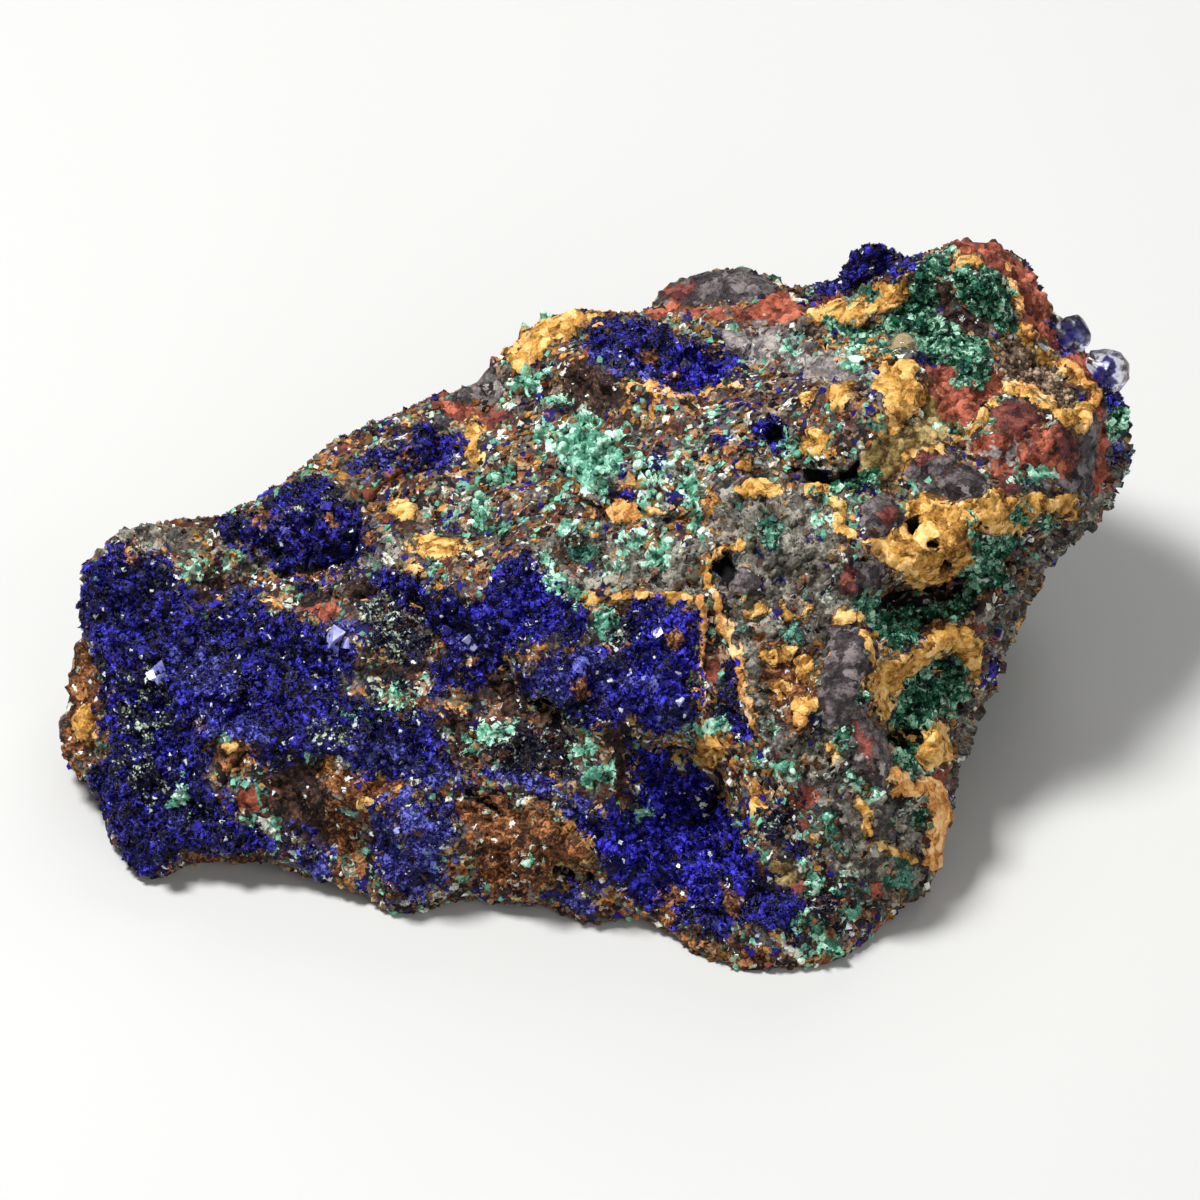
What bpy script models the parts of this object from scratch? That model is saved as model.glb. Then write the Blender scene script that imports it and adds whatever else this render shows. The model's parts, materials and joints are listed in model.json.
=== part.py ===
"""Azurite specimen: a hand-sized lump of iron-stained host rock that carries crusts of azurite and malachite.

Run with: blender --background --python part.py

The specimen lies on its flat base and leans its show face up and forwards. Its relief is laid out square to
the show face, in millimetres: across (to the right), up (along the leaning face) and out (towards whoever
looks at it). show_to_world turns that into the part's frame: metres, +Z up, +X to the right, the show face
towards -Y, and the origin at the middle of the base.
"""

import math
from dataclasses import dataclass

import bmesh
import bpy
import numpy as np
from mathutils import Vector, geometry, noise
from mathutils.bvhtree import BVHTree

MM = 0.001

# Driving dimensions, in millimetres and degrees.
LOOK_DOWN = 40.0  # the show face is looked at from this far above the horizon
BASE_OUT = -31.0  # where the base plane meets the middle of the show face, measured out from it
BASE_MIDDLE = (-0.25, 6.55)  # middle of the specimen's box, to the right and back of the show face's middle

# The crusts' make.
GAP = 0.3  # left between a crust and the rock that it grew on
CRUST_LIFT = 0.5  # from the rock to the underside of a crust, outwards from the show face
RIM_DRAWN_IN = 0.45  # how far the rim of a crust keeps inside the faces that it grows on
RIM_THICKNESS = 0.4  # share of its thickness that a crust keeps at its rim
STEEPEST = 0.3  # cosine of the steepest slope that a crust grows on
CRYSTAL_SHARE = 0.6  # share of a crust's faces that carry a raised crystal
LOWEST_CRYSTAL = 0.35  # the lowest crystal, as a share of the tallest
LEAN = 3.0  # the higher, the nearer each crystal stands to the middle of its own foot
CLEARANCE = 0.05  # where the search for overhanging rock starts
SEARCH_SPREAD = 0.95  # how near to a face's corners that search looks
TIDY_ROUNDS = 8

# The rock's make.
FINE_STEP = 1.0  # grid step of the weathered surface, before it is faceted
HOST_TRIANGLES = 5200
BEHIND_DROPPED = 0.97  # share of the triangles of the far side that go before the rest are thinned
BEHIND = 0.1  # cosine to the show face's way of looking under which the surface counts as the far side
BENEATH = 0.4  # edge of the block that levels the base, in metres
RIM_SEARCH = 1.4  # how far the search for the rock under a crust's rim looks each way
INSIDE_ONLY = 1  # keeps the triangles inside the rim
CDT_TOLERANCE = 1e-4
TINY = 1e-12

# The rim of the specimen seen square to the show face: (across, up, out).
LOBE_RIM = [
    (-53.3, -0.7, -8), (-52.4, 2.0, -9), (-51.0, 4.3, -10), (-49.2, 6.0, -11), (-46.5, 7.0, -12),
    (-44.0, 7.8, -13), (-40.0, 8.0, -13), (-37.8, 9.0, -14), (-36.0, 8.9, -14),
]
SHOULDER_RIM = [
    (-34.5, 10.0, -14.5), (-32.8, 11.0, -15), (-31.0, 12.8, -15), (-28.2, 14.8, -16), (-25.5, 16.2, -16),
    (-22.8, 17.8, -16.5), (-20.0, 18.2, -16), (-18.5, 19.5, -16.5), (-16.0, 20.3, -17), (-13.8, 21.2, -17),
    (-12.2, 23.0, -17.5), (-10.0, 24.8, -18), (-8.5, 26.8, -18), (-6.5, 27.9, -18), (-4.0, 28.2, -17),
    (0.0, 28.6, -17), (4.0, 28.6, -18),
]
HUMP_RIM = [
    (5.0, 29.8, -21), (5.8, 31.5, -21.5), (7.8, 33.0, -22), (10.5, 32.7, -22), (12.8, 33.4, -22),
    (16.5, 33.3, -22), (17.5, 32.2, -21), (18.5, 30.9, -20), (20.5, 30.9, -19), (22.0, 32.0, -19),
    (24.5, 32.6, -19), (26.5, 32.8, -19), (28.5, 33.2, -19), (30.5, 33.4, -17), (31.5, 33.2, -15),
]
HEAD_RIM = [
    (33.0, 34.6, -12), (35.5, 35.7, -12), (38.0, 36.4, -13), (40.2, 36.6, -14), (41.0, 35.4, -14.5),
    (42.5, 34.6, -15), (44.0, 32.8, -15.5), (45.2, 30.8, -15.5), (45.4, 29.2, -16), (47.2, 28.2, -17),
    (48.4, 26.5, -17), (48.4, 25.1, -16), (50.4, 22.6, -15), (52.4, 20.2, -14), (53.0, 18.2, -13.5),
    (53.5, 17.0, -13), (53.1, 14.5, -12), (52.4, 12.0, -11), (50.8, 10.0, -10),
]
BROKEN_SIDE_RIM = [
    (49.0, 7.5, -9), (47.5, 7.0, -8.5), (46.0, 5.5, -8), (44.0, 4.0, -7), (43.9, 2.0, -6.5), (42.0, 0.0, -6),
    (41.8, -1.2, -5.5), (41.0, -4.5, -4), (39.3, -5.2, -3), (39.6, -6.5, -3), (38.8, -9.5, -2),
    (37.0, -11.5, -1), (36.2, -14.0, 0), (34.5, -16.5, 2), (34.7, -21.0, 4), (33.8, -23.0, 5),
    (33.0, -25.0, 5.5), (32.2, -29.0, 6), (30.0, -29.5, 6.5),
]
FOOT_RIM = [
    (28.5, -31.8, 8.5), (26.0, -34.0, 10.5), (23.5, -35.7, 12.5), (20.8, -36.4, 13.2), (19.0, -35.8, 13.2),
    (16.5, -36.0, 13.2), (14.8, -36.6, 13.6), (13.5, -35.8, 12.8), (10.0, -34.8, 12), (8.0, -33.5, 11),
    (6.0, -32.0, 10), (4.0, -31.0, 9), (0.5, -31.0, 8), (-1.5, -31.5, 8), (-3.0, -30.0, 7.5),
    (-7.0, -29.5, 7), (-11.0, -29.1, 6.5), (-13.0, -29.8, 6.5), (-17.0, -30.3, 6.8), (-19.5, -31.1, 7.2),
    (-21.0, -30.5, 6.8), (-22.5, -29.0, 6), (-25.0, -28.2, 5.5), (-28.5, -27.7, 5), (-30.5, -26.5, 4.5),
    (-33.5, -26.0, 4), (-35.5, -25.2, 3.5), (-38.5, -25.6, 3.5), (-40.5, -25.6, 3.2), (-42.5, -26.8, 3.4),
    (-44.8, -27.5, 3.8), (-47.0, -26.2, 2.2), (-48.2, -23.5, 0.5), (-49.7, -20.0, -2), (-51.0, -18.0, -3),
    (-53.8, -16.0, -4), (-54.0, -14.2, -5), (-53.4, -12.0, -6), (-53.5, -9.5, -6.5), (-53.0, -6.0, -7),
    (-53.0, -4.5, -7), (-51.8, -2.2, -7), (-52.8, -2.0, -7.5),
]
RIM = LOBE_RIM + SHOULDER_RIM + HUMP_RIM + HEAD_RIM + BROKEN_SIDE_RIM + FOOT_RIM

# Ridges, slopes and valleys of the show face: (across, up, out).
LOBE_FACE = [
    (-49.5, 2.5, -6), (-47.0, 5.0, -8), (-42.0, 4.0, -8), (-38.5, 1.5, -7.5), (-50.5, -4.0, -4),
    (-50.0, -10.0, -2), (-48.8, -14.5, 0), (-48.5, -18.0, 1), (-47.0, -22.0, 3), (-44.5, -25.0, 5),
    (-43.0, -2.0, -5.5), (-44.0, -8.0, -3.5), (-40.0, -12.0, 0), (-43.0, -18.0, 2), (-37.0, -4.0, -3.5),
    (-32.0, -4.0, -1.5), (-28.0, -6.0, 1), (-34.0, -10.0, 1), (-27.0, -12.0, 4), (-40.0, -23.0, 5),
    (-35.0, -23.5, 5.5),
]
LOBE_LEDGE = [
    (-39.0, -13.5, 3), (-36.5, -13.5, 4.5), (-30.0, -14.5, 6.5), (-25.0, -14.5, 7.5), (-20.0, -16.0, 8.5),
    (-15.0, -17.0, 9), (-10.0, -18.5, 10), (-4.0, -20.0, 11), (0.0, -19.0, 11),
    (-36.0, -19.0, 5), (-30.0, -20.0, 6), (-25.0, -20.0, 8.5), (-29.0, -25.0, 6), (-20.0, -20.0, 9.5),
    (-17.0, -25.0, 10), (-20.0, -28.0, 9), (-10.0, -25.0, 10.5), (-4.0, -24.0, 12.5), (0.0, -26.0, 12),
    (-6.0, -28.0, 8.5),
]
MAIN_FACE = [
    (-26.0, 0.0, -1), (-27.0, -2.5, 0), (-23.0, -4.0, 3), (-20.0, 0.0, 1), (-21.0, 2.5, 0), (-17.0, 2.0, 2),
    (-14.0, 0.0, 5), (-10.0, 4.0, 5), (-7.0, 5.0, 5), (-4.0, 1.0, 7), (0.0, -1.0, 9), (-1.0, -4.0, 10),
    (5.0, -0.5, 10), (9.5, -1.0, 11), (-18.0, -6.0, 4), (-15.0, -10.0, 6), (-10.5, -8.0, 6.5),
    (-9.0, -5.0, 10), (-4.0, -4.0, 11), (-8.0, -9.0, 10), (0.0, -10.0, 12), (5.0, -8.0, 12.5),
    (10.0, -10.0, 12.5), (9.0, -13.0, 12), (4.0, -14.0, 9.5), (-4.0, -14.0, 8.5), (-12.0, -14.0, 7),
    (-8.0, -12.0, 8), (1.0, -15.0, 11), (2.0, -19.0, 11),
]
FOOT_FACE = [
    (5.0, -16.0, 7), (9.0, -19.0, 6.5), (12.0, -23.0, 7), (8.0, -25.0, 8.5), (4.0, -23.0, 9),
    (10.0, -28.0, 10),
    (14.0, -27.0, 9.5), (5.0, -28.0, 10), (12.0, -32.0, 12.5), (8.0, -31.0, 11.5), (14.5, -19.0, 12.5),
    (15.0, -23.0, 12.8), (17.0, -25.0, 14), (20.0, -20.0, 14.5), (17.0, -30.0, 14.2), (22.0, -26.0, 15),
    (20.0, -33.0, 14.5), (25.0, -30.0, 14), (24.0, -33.0, 13.2), (16.0, -34.0, 14),
]
GREY_RIDGE = [
    (11.0, 0.0, 12.5), (12.0, -4.0, 10.5), (12.0, -10.0, 11), (13.5, -14.0, 13), (15.5, -10.0, 14.5),
    (13.5, -4.0, 14), (12.5, 0.0, 13.5), (14.5, -13.5, 14.5), (12.0, 6.0, 11), (16.0, 10.0, 9),
    (16.0, 4.0, 12.5), (20.0, 10.0, 10.5), (20.0, 5.0, 13), (23.0, 9.0, 11.5), (25.0, 5.0, 12.5),
    (24.0, 0.0, 14), (20.0, -2.0, 14.5), (26.0, -4.0, 14.5), (25.0, -10.0, 16), (20.0, -8.0, 15.5),
    (16.0, -4.0, 14.5), (18.0, -14.0, 15.5), (22.0, -16.0, 17), (27.0, -16.0, 16.5), (28.0, -21.0, 15.5),
    (23.0, -22.0, 16.5), (30.0, -25.0, 12.5), (27.0, -27.0, 13.5), (30.5, -28.0, 10),
]
UPPER_SLOPE = [
    (-35.0, 6.0, -11), (-30.0, 4.0, -9.5), (-26.0, 4.0, -7), (-22.0, 4.0, -3), (-33.0, 9.5, -12),
    (-28.0, 11.0, -11), (-27.0, 8.0, -9), (-23.0, 10.0, -9), (-20.0, 15.0, -11), (-16.0, 17.0, -12),
    (-16.0, 13.0, -9), (-18.0, 8.0, -5), (-13.0, 10.0, -6), (-15.0, 5.0, 0), (-12.0, 6.0, 1),
    (-10.0, 10.0, -3), (-12.0, 17.0, -10), (-10.0, 20.0, -12), (-8.0, 16.0, -8), (-5.0, 20.0, -9),
    (-8.0, 24.0, -14), (-4.0, 26.0, -13), (-4.0, 23.0, -10), (0.0, 20.0, -5), (-2.0, 16.0, -4),
    (2.0, 16.0, -1), (-5.0, 12.0, -2), (0.0, 10.0, 3), (-6.0, 8.0, 2), (-2.0, 5.0, 6), (4.0, 6.0, 8),
    (6.0, 2.0, 10), (9.0, 4.0, 10), (5.0, 12.0, 4), (9.0, 9.0, 7),
]
CROWN = [
    (0.0, 27.0, -12), (6.0, 27.0, -12.5), (10.0, 25.0, -8.5), (14.5, 23.0, -3), (13.0, 20.5, -1),
    (9.0, 20.0, -1.5), (5.0, 21.0, -3), (0.0, 23.5, -6), (10.0, 16.0, 4), (14.0, 17.0, 4), (20.0, 18.0, 6),
    (16.0, 20.0, 1), (20.0, 22.0, 2), (23.0, 20.0, 6), (25.0, 23.0, 3), (26.5, 20.0, 7), (26.0, 16.0, 9.5),
    (22.0, 15.0, 8), (18.0, 14.0, 8), (10.0, 28.0, -13), (14.0, 26.0, -9), (18.0, 25.5, -6),
    (16.0, 28.0, -12),
    (22.0, 25.0, -3), (20.0, 27.5, -9), (25.0, 24.5, -1), (27.5, 24.0, 2),
    (8.0, 31.0, -18), (12.0, 31.0, -18), (16.0, 31.5, -18), (9.0, 29.0, -14.5), (14.0, 29.0, -14.5),
    (19.0, 30.0, -16), (22.0, 30.0, -14), (25.0, 31.5, -15), (28.0, 33.0, -16),
]
HEAD_FACE = [
    (25.0, 29.5, -8.5), (30.0, 31.0, -9), (31.0, 32.5, -11), (26.0, 27.5, -4), (28.0, 27.0, -3),
    (28.0, 24.0, 3), (27.5, 20.0, 6), (28.0, 17.0, 8), (31.0, 20.0, 5.5), (32.0, 17.0, 6.5),
    (28.0, 14.0, 8.5), (30.0, 15.0, 8), (34.0, 33.8, -8), (32.0, 32.0, -7), (36.0, 33.5, -8),
    (40.0, 32.5, -8), (41.5, 30.0, -8), (42.0, 27.0, -7), (39.0, 35.5, -10), (43.0, 31.0, -11),
    (44.5, 27.0, -11), (48.0, 23.0, -10), (50.5, 19.0, -9), (42.0, 25.0, -5), (45.0, 22.0, -5),
    (48.0, 20.0, -6), (40.0, 23.0, -3), (44.0, 19.0, -3), (34.0, 22.0, 2), (35.0, 20.0, 2.5),
    (38.0, 22.0, -1), (36.0, 18.0, 4), (40.0, 19.0, 1), (42.0, 17.0, 2.5), (38.0, 16.0, 4.5),
    (46.0, 17.0, -1), (44.0, 15.0, 1.5), (49.0, 16.0, -5), (40.0, 13.0, 4), (36.0, 12.0, 6.5),
    (33.0, 13.0, 7), (45.0, 11.0, 0), (48.0, 12.0, -3), (51.0, 14.0, -8), (34.0, 26.0, -1),
]
BROKEN_SIDE = [
    (27.0, 10.0, 9), (30.0, 4.0, 9.5), (32.0, 1.5, 9), (35.0, 4.0, 7.5), (36.0, 8.0, 7), (40.0, 4.0, 3),
    (42.0, 7.0, 2), (46.0, 8.0, -3), (33.0, 7.0, 8.5), (40.0, 10.0, 4), (28.0, -2.0, 9), (32.0, -2.5, 6.5),
    (40.0, -1.0, -1), (39.0, -4.0, 0), (28.0, -8.0, 10), (30.0, -6.0, 9.5), (34.0, -5.0, 6.5),
    (37.0, -4.0, 3.5), (38.0, -7.0, 1.5), (27.0, -5.0, 11), (29.0, -10.0, 8.5), (33.0, -14.0, 7),
    (32.0, -16.0, 7.5), (36.0, -11.0, 1.5), (30.5, -17.0, 8.5), (33.0, -19.0, 8), (33.5, -23.0, 7.5),
    (29.0, -18.5, 11.5),
]
SHOW_FACE = LOBE_FACE + LOBE_LEDGE + MAIN_FACE + FOOT_FACE + GREY_RIDGE
SHOW_FACE = SHOW_FACE + UPPER_SLOPE + CROWN + HEAD_FACE + BROKEN_SIDE

# The far side is a rough dome: rings drawn in from the rim towards a keel that lies below the base plane.
KEEL = (2.0, 4.0, -41.0)
DOME_RINGS = 7
FRACTURE_FLATNESS = 0.9
DOME_SQUARENESS = 0.72  # under 1 the dome is boxier than a ball

# Fracture faces of the far side: the way each looks, to the right, back and up, and how deep it cuts.
FRACTURES = [
    ((-0.45, 0.85, 0.3), 5.0),
    ((0.4, 0.9, -0.1), 4.5),
    ((0.9, 0.35, -0.3), 4.0),
    ((-0.85, 0.4, -0.1), 4.0),
    ((0.05, 0.75, 0.65), 4.0),
    ((0.75, 0.6, 0.45), 3.5),
]

# Hollows (depth above 0) and knobs (below 0) of the show face, in millimetres and degrees:
# (across, up, half width, half height, turn, depth, share of the radius that keeps the full depth).
HOLLOWS_AND_KNOBS = [
    (8.5, 23.0, 7.5, 3.2, -20, 3.2, 0.45),  # azurite pocket under the crown
    (17.0, 16.5, 2.8, 2.4, 0, 2.6, 0.3),  # small azurite vug
    (11.8, 3.0, 1.9, 2.2, 0, 3.6, 0.4),  # round hole beside the grey ridge
    (8.5, -20.5, 6.5, 5.6, -35, 4.2, 0.35),  # deep blue pocket of the foot
    (35.5, 29.0, 6.4, 4.4, -15, 5.0, 0.4),  # malachite hollow of the head
    (30.5, 26.3, 5.5, 2.0, 15, 2.8, 0.3),  # gallery under the ochre flap
    (44.0, 23.0, 5.6, 2.6, -42, 1.8, 0.3),  # goethite hollow inside the head's rim
    (32.5, -0.4, 7.8, 2.7, 14, 8.5, 0.45),  # cave below the ochre brow
    (33.4, -7.8, 5.6, 2.9, 42, 6.0, 0.4),  # malachite pocket of the broken side
    (30.2, -13.8, 2.0, 4.2, 6, 6.0, 0.4),  # its lower arm
    (39.5, 5.6, 4.6, 1.8, 28, 3.4, 0.3),  # niche under the brow's right end
    (27.2, -23.0, 5.0, 4.0, 0, -1.2, 0.2),  # swell of the grey foot
    (27.8, 8.2, 2.7, 2.4, 0, -2.2, 0.3),  # goethite knob
    (28.5, 19.8, 1.6, 1.8, 0, -1.6, 0.3),  # small grey knob in the ochre
    (36.5, 11.6, 3.2, 2.2, 15, -2.0, 0.2),  # grey block
    (33.0, 14.4, 3.4, 2.0, 20, -1.4, 0.2),  # purple block above it
    (40.5, 17.4, 3.6, 3.0, 20, -2.2, 0.2),  # red boss
    (45.0, 15.4, 3.4, 3.4, 0, -1.6, 0.2),  # its neighbour
    (12.0, 31.0, 6.0, 2.0, 3, -1.4, 0.3),  # swell of the hump
    (33.4, -14.6, 2.6, 2.8, 10, -2.0, 0.3),  # ochre knob beside the pocket
    (26.6, -14.0, 2.2, 3.6, 24, -1.2, 0.4),  # lens of red jasper
    (24.2, -7.4, 2.0, 4.4, -8, -1.2, 0.4),  # dark slab
    (-4.6, -6.8, 5.2, 3.2, -32, -2.0, 0.4),  # grey slab on the main face
    (5.0, -6.6, 5.4, 6.2, 0, -1.0, 0.6),  # azurite block
    (-25.5, -20.0, 5.4, 3.4, -10, -2.0, 0.4),  # brown lump of the lobe's ledge
    (-34.0, -19.0, 3.4, 3.0, 0, -1.4, 0.4),  # its left neighbour
    (-17.0, -24.0, 4.6, 3.4, 10, -1.6, 0.3),  # blue-grey lump above the foot
    (-8.0, -25.0, 3.6, 3.0, 0, -1.2, 0.3),  # orange lump
]

# Ridges (height above 0) and crevices (below 0): (half width, height, path of across and up).
RIDGES_AND_CREVICES = [
    (1.7, 2.0, [(20.0, 27.8), (25.0, 29.0), (28.5, 30.6), (31.5, 33.0)]),  # ochre flap
    (1.9, 1.6, [(37.0, 35.6), (40.5, 34.5), (43.0, 30.5), (45.0, 26.5), (48.5, 23.0), (50.8, 19.5),
                (51.5, 16.0)]),  # red rim of the head
    (2.8, 2.2, [(30.5, 4.0), (33.0, 5.5), (37.0, 6.5), (41.0, 8.5), (46.0, 9.8)]),  # brow
    (1.5, 1.8, [(26.5, -4.5), (30.0, -5.5), (34.0, -4.2), (37.5, -3.8)]),  # arm below the cave
    (1.2, 1.4, [(28.8, -17.2), (31.5, -18.4), (33.6, -20.0), (33.6, -23.0), (33.0, -25.0)]),
    (1.1, 1.2, [(12.0, 0.0), (13.5, -4.0), (14.5, -8.0), (15.5, -11.0), (16.8, -14.0)]),  # tan rib
    (1.8, 1.2, [(-28.0, -1.5), (-24.0, 2.0), (-20.0, 4.5), (-15.0, 3.0), (-10.0, 2.0), (-7.0, 4.5),
                (-3.0, 1.0)]),  # crest of the main face
    (1.8, 1.0, [(-3.0, 1.0), (0.0, -1.0), (6.0, -0.5), (9.5, -1.0)]),
    (1.5, 1.0, [(-50.0, 3.8), (-46.5, 5.4), (-43.0, 4.8), (-40.0, 2.2), (-38.0, 0.5)]),  # top of the lobe
    (1.7, 1.6, [(-39.0, -13.0), (-34.0, -14.5), (-28.0, -15.5), (-22.0, -15.5), (-16.0, -17.5),
                (-4.0, -20.5)]),  # ledge below the druse
    (1.1, 1.4, [(4.5, 20.4), (8.0, 20.2), (11.0, 21.0), (14.0, 22.3)]),  # lip of the azurite pocket
    (1.9, 1.6, [(-6.0, -24.0), (-2.5, -25.0), (0.4, -26.0)]),  # orange plate
    (1.0, -3.0, [(5.5, 30.0), (9.0, 29.8), (13.0, 30.2), (16.0, 31.2)]),  # under the hump
    (1.3, -3.6, [(13.0, 13.2), (17.5, 12.2), (22.0, 12.2), (25.0, 13.0)]),  # slot under the grey brow
    (0.9, -2.6, [(-9.2, -6.8), (-7.5, -10.2), (-4.5, -11.8)]),  # under the grey slab
    (0.8, -1.8, [(-13.5, -19.5), (-9.5, -21.8)]),
    (0.8, -2.2, [(-4.5, -27.6), (-1.0, -27.8), (0.6, -27.2)]),
    (0.9, -1.8, [(10.6, -1.0), (10.9, -7.0), (11.4, -13.0)]),  # beside the azurite block
    (1.3, -2.6, [(2.5, -14.8), (5.5, -15.6), (9.0, -16.0)]),  # below it
    (1.6, -3.0, [(-37.5, 1.8), (-33.0, 3.2), (-27.5, 3.4), (-24.5, 5.0)]),  # valley behind the lobe
    (1.3, -3.0, [(22.5, 26.0), (26.5, 26.6), (29.5, 27.0)]),  # under the flap
    (1.4, -4.0, [(27.5, 0.2), (31.0, 1.8), (36.0, 2.4), (40.0, 4.4), (43.5, 5.8),
                 (46.5, 7.8)]),  # cave's roof
]

# Swells, lumps and chips of the weathered surface: (size, height).
SWELLS = (11.0, 2.2)
LUMPS = (5.5, 2.4)
CHIPS = (7.0, 1.6)
SWELL_OCTAVES = 2
LUMP_LEVEL = 0.25  # the share of a lump's height that lies below the even surface
CHIP_LEVEL = 0.35
RIM_BAND = 2.5  # near the rim the weathering fades, over this width
RIM_WEATHERING = 0.35
RIM_SWELL = 0.6  # makes up for what rounding takes off the rim
WANDER_SIZE = 3.0  # size of the wander in the outlines of hollows and ridges
WANDER = 0.27  # how far they wander, as a share of their radius
RIDGE_SHARPNESS = 0.8
SIDE_FADE = 3.0  # how fast carving fades on surfaces that turn away from the show face

# The crusts' outlines on the show face: (across, up).
AZURITE_DRUSE_ZONE = [
    (-51.5, 3.0), (-47.0, 5.2), (-42.5, 4.0), (-39.5, 0.5), (-35.0, 1.8), (-32.0, -0.5), (-27.0, -2.5),
    (-23.5, 0.0), (-21.0, 3.5), (-16.5, 1.8), (-11.0, 0.5), (-8.0, 5.0), (-6.0, 4.6), (-2.0, 0.2),
    (2.0, -1.8), (9.3, -1.2), (9.6, -12.6), (6.0, -13.6), (12.5, -19.5), (14.0, -25.0), (17.5, -30.0),
    (10.5, -31.0), (5.0, -27.0), (0.5, -28.0), (-0.5, -22.0), (-5.0, -19.5), (-12.0, -18.0),
    (-18.0, -17.0), (-24.5, -15.5), (-31.0, -15.2), (-35.0, -15.0), (-38.5, -17.5), (-35.0, -21.5),
    (-33.0, -24.5), (-40.0, -24.8), (-44.8, -26.5), (-48.0, -22.0), (-49.5, -17.5), (-48.6, -12.0),
    (-50.5, -6.0),
]
AZURITE_SLOPE_ZONE = [
    (-39.0, 8.0), (-34.0, 8.6), (-26.0, 14.6), (-19.0, 17.6), (-15.5, 17.5), (-14.0, 13.5), (-18.0, 12.8),
    (-24.0, 12.6), (-24.0, 9.0), (-25.0, 5.0), (-30.0, 4.0), (-36.0, 6.0),
]
AZURITE_POCKET_ZONE = [
    (-2.5, 25.5), (2.5, 28.0), (6.5, 27.6), (10.0, 25.5), (13.8, 23.2), (12.0, 21.2), (7.5, 20.4),
    (3.0, 22.2), (0.0, 24.0),
]
MALACHITE_PATCH_ZONE = [
    (-6.5, 17.0), (-1.5, 19.0), (2.5, 17.0), (4.5, 14.5), (8.5, 13.5), (10.5, 9.0), (8.0, 7.0),
    (4.0, 8.6), (0.0, 9.0), (-3.0, 11.0), (-5.0, 13.4),
]
MALACHITE_HEAD_ZONE = [
    (29.5, 27.5), (32.0, 31.5), (34.5, 34.4), (37.5, 32.4), (40.5, 31.5), (41.8, 27.0), (39.5, 25.0),
    (38.0, 22.5), (33.5, 24.0), (30.5, 25.5), (27.5, 25.5),
]
MALACHITE_CAVE_ZONE = [
    (25.5, -0.5), (30.0, 2.0), (37.5, 2.6), (40.0, 3.0), (38.0, -1.0), (34.5, -1.5), (31.0, -4.8),
    (28.0, -3.0),
]
MALACHITE_POCKET_ZONE = [
    (29.5, -8.6), (34.6, -5.2), (37.2, -7.0), (37.0, -10.5), (33.5, -11.5), (31.6, -14.5), (31.8, -17.6),
    (29.6, -17.0), (28.6, -12.5),
]


@dataclass(frozen=True)
class Crust:
    """A crust of crystals, with its thickness and the height of its tallest crystal."""

    name: str
    zone: list
    thickness: float
    crystal: float
    mineral: str


CRUSTS = [
    Crust("azurite_druse", AZURITE_DRUSE_ZONE, 1.0, 1.1, "azurite"),
    Crust("azurite_slope_druse", AZURITE_SLOPE_ZONE, 0.8, 1.0, "azurite"),
    Crust("azurite_pocket_druse", AZURITE_POCKET_ZONE, 0.7, 1.0, "azurite"),
    Crust("malachite_patch", MALACHITE_PATCH_ZONE, 0.7, 0.8, "light_malachite"),
    Crust("malachite_head_crust", MALACHITE_HEAD_ZONE, 0.9, 0.9, "dark_malachite"),
    Crust("malachite_cave_crust", MALACHITE_CAVE_ZONE, 0.6, 0.7, "dark_malachite"),
    Crust("malachite_pocket_crust", MALACHITE_POCKET_ZONE, 0.7, 0.8, "dark_malachite"),
]


@dataclass(frozen=True)
class Lump:
    """A single crystal lump that stands on the rock nearest to its place: (across, up, out)."""

    name: str
    place: tuple
    half_sizes: tuple
    roughness: float
    mineral: str


CRYSTAL_LUMPS = [
    Lump("azurite_knob", (27.8, 33.0, -14.5), (3.0, 1.9, 2.4), 0.55, "azurite"),
    Lump("quartz_bead", (51.4, 23.4, -12.0), (2.5, 2.4, 2.2), 0.12, "quartz"),
    Lump("quartz_side_crystal", (47.4, 26.6, -14.0), (1.9, 2.1, 1.8), 0.2, "quartz"),
    Lump("chalcedony_bead", (30.6, 27.8, 2.0), (1.5, 1.7, 1.5), 0.06, "quartz"),
]
LUMP_DETAIL = 2
STANDS_OFF = 0.45  # the share of its size that a lump's middle stands off the rock

# Each mineral's colour, roughness and transmission.
FINISHES = {
    "gossan": ((0.42, 0.28, 0.15), 0.85, 0.0),
    "azurite": ((0.02, 0.03, 0.36), 0.25, 0.0),
    "light_malachite": ((0.24, 0.62, 0.46), 0.6, 0.0),
    "dark_malachite": ((0.03, 0.22, 0.14), 0.45, 0.0),
    "quartz": ((0.85, 0.86, 0.9), 0.05, 0.9),
}


def show_to_world(point):
    """A point given as across, up and out in millimetres, in metres over the base, before it is centred."""
    across, up, out = point
    tilt = math.radians(LOOK_DOWN)
    back = up * math.sin(tilt) - out * math.cos(tilt)
    height = up * math.cos(tilt) + (out - BASE_OUT) * math.sin(tilt)
    return Vector((across, back, height)) * MM


def world_to_show(points):
    """Rows of points in metres, as rows of across, up and out in millimetres."""
    tilt = math.radians(LOOK_DOWN)
    across, back, height = (points / MM).T
    height = height + BASE_OUT * math.sin(tilt)
    up = back * math.sin(tilt) + height * math.cos(tilt)
    out = height * math.sin(tilt) - back * math.cos(tilt)
    return np.stack([across, up, out], axis=1)


def out_axis():
    """The direction that the show face looks in."""
    tilt = math.radians(LOOK_DOWN)
    return Vector((0.0, -math.cos(tilt), math.sin(tilt)))


def made_material(name):
    """A mineral's Principled BSDF material."""
    colour, roughness, transmission = FINISHES[name]
    made = bpy.data.materials.new(name)
    made.use_nodes = True
    shader = made.node_tree.nodes["Principled BSDF"]
    shader.inputs["Base Color"].default_value = (*colour, 1.0)
    shader.inputs["Roughness"].default_value = roughness
    shader.inputs["Transmission Weight"].default_value = transmission
    made.diffuse_color = (*colour, 1.0)
    return made


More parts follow.
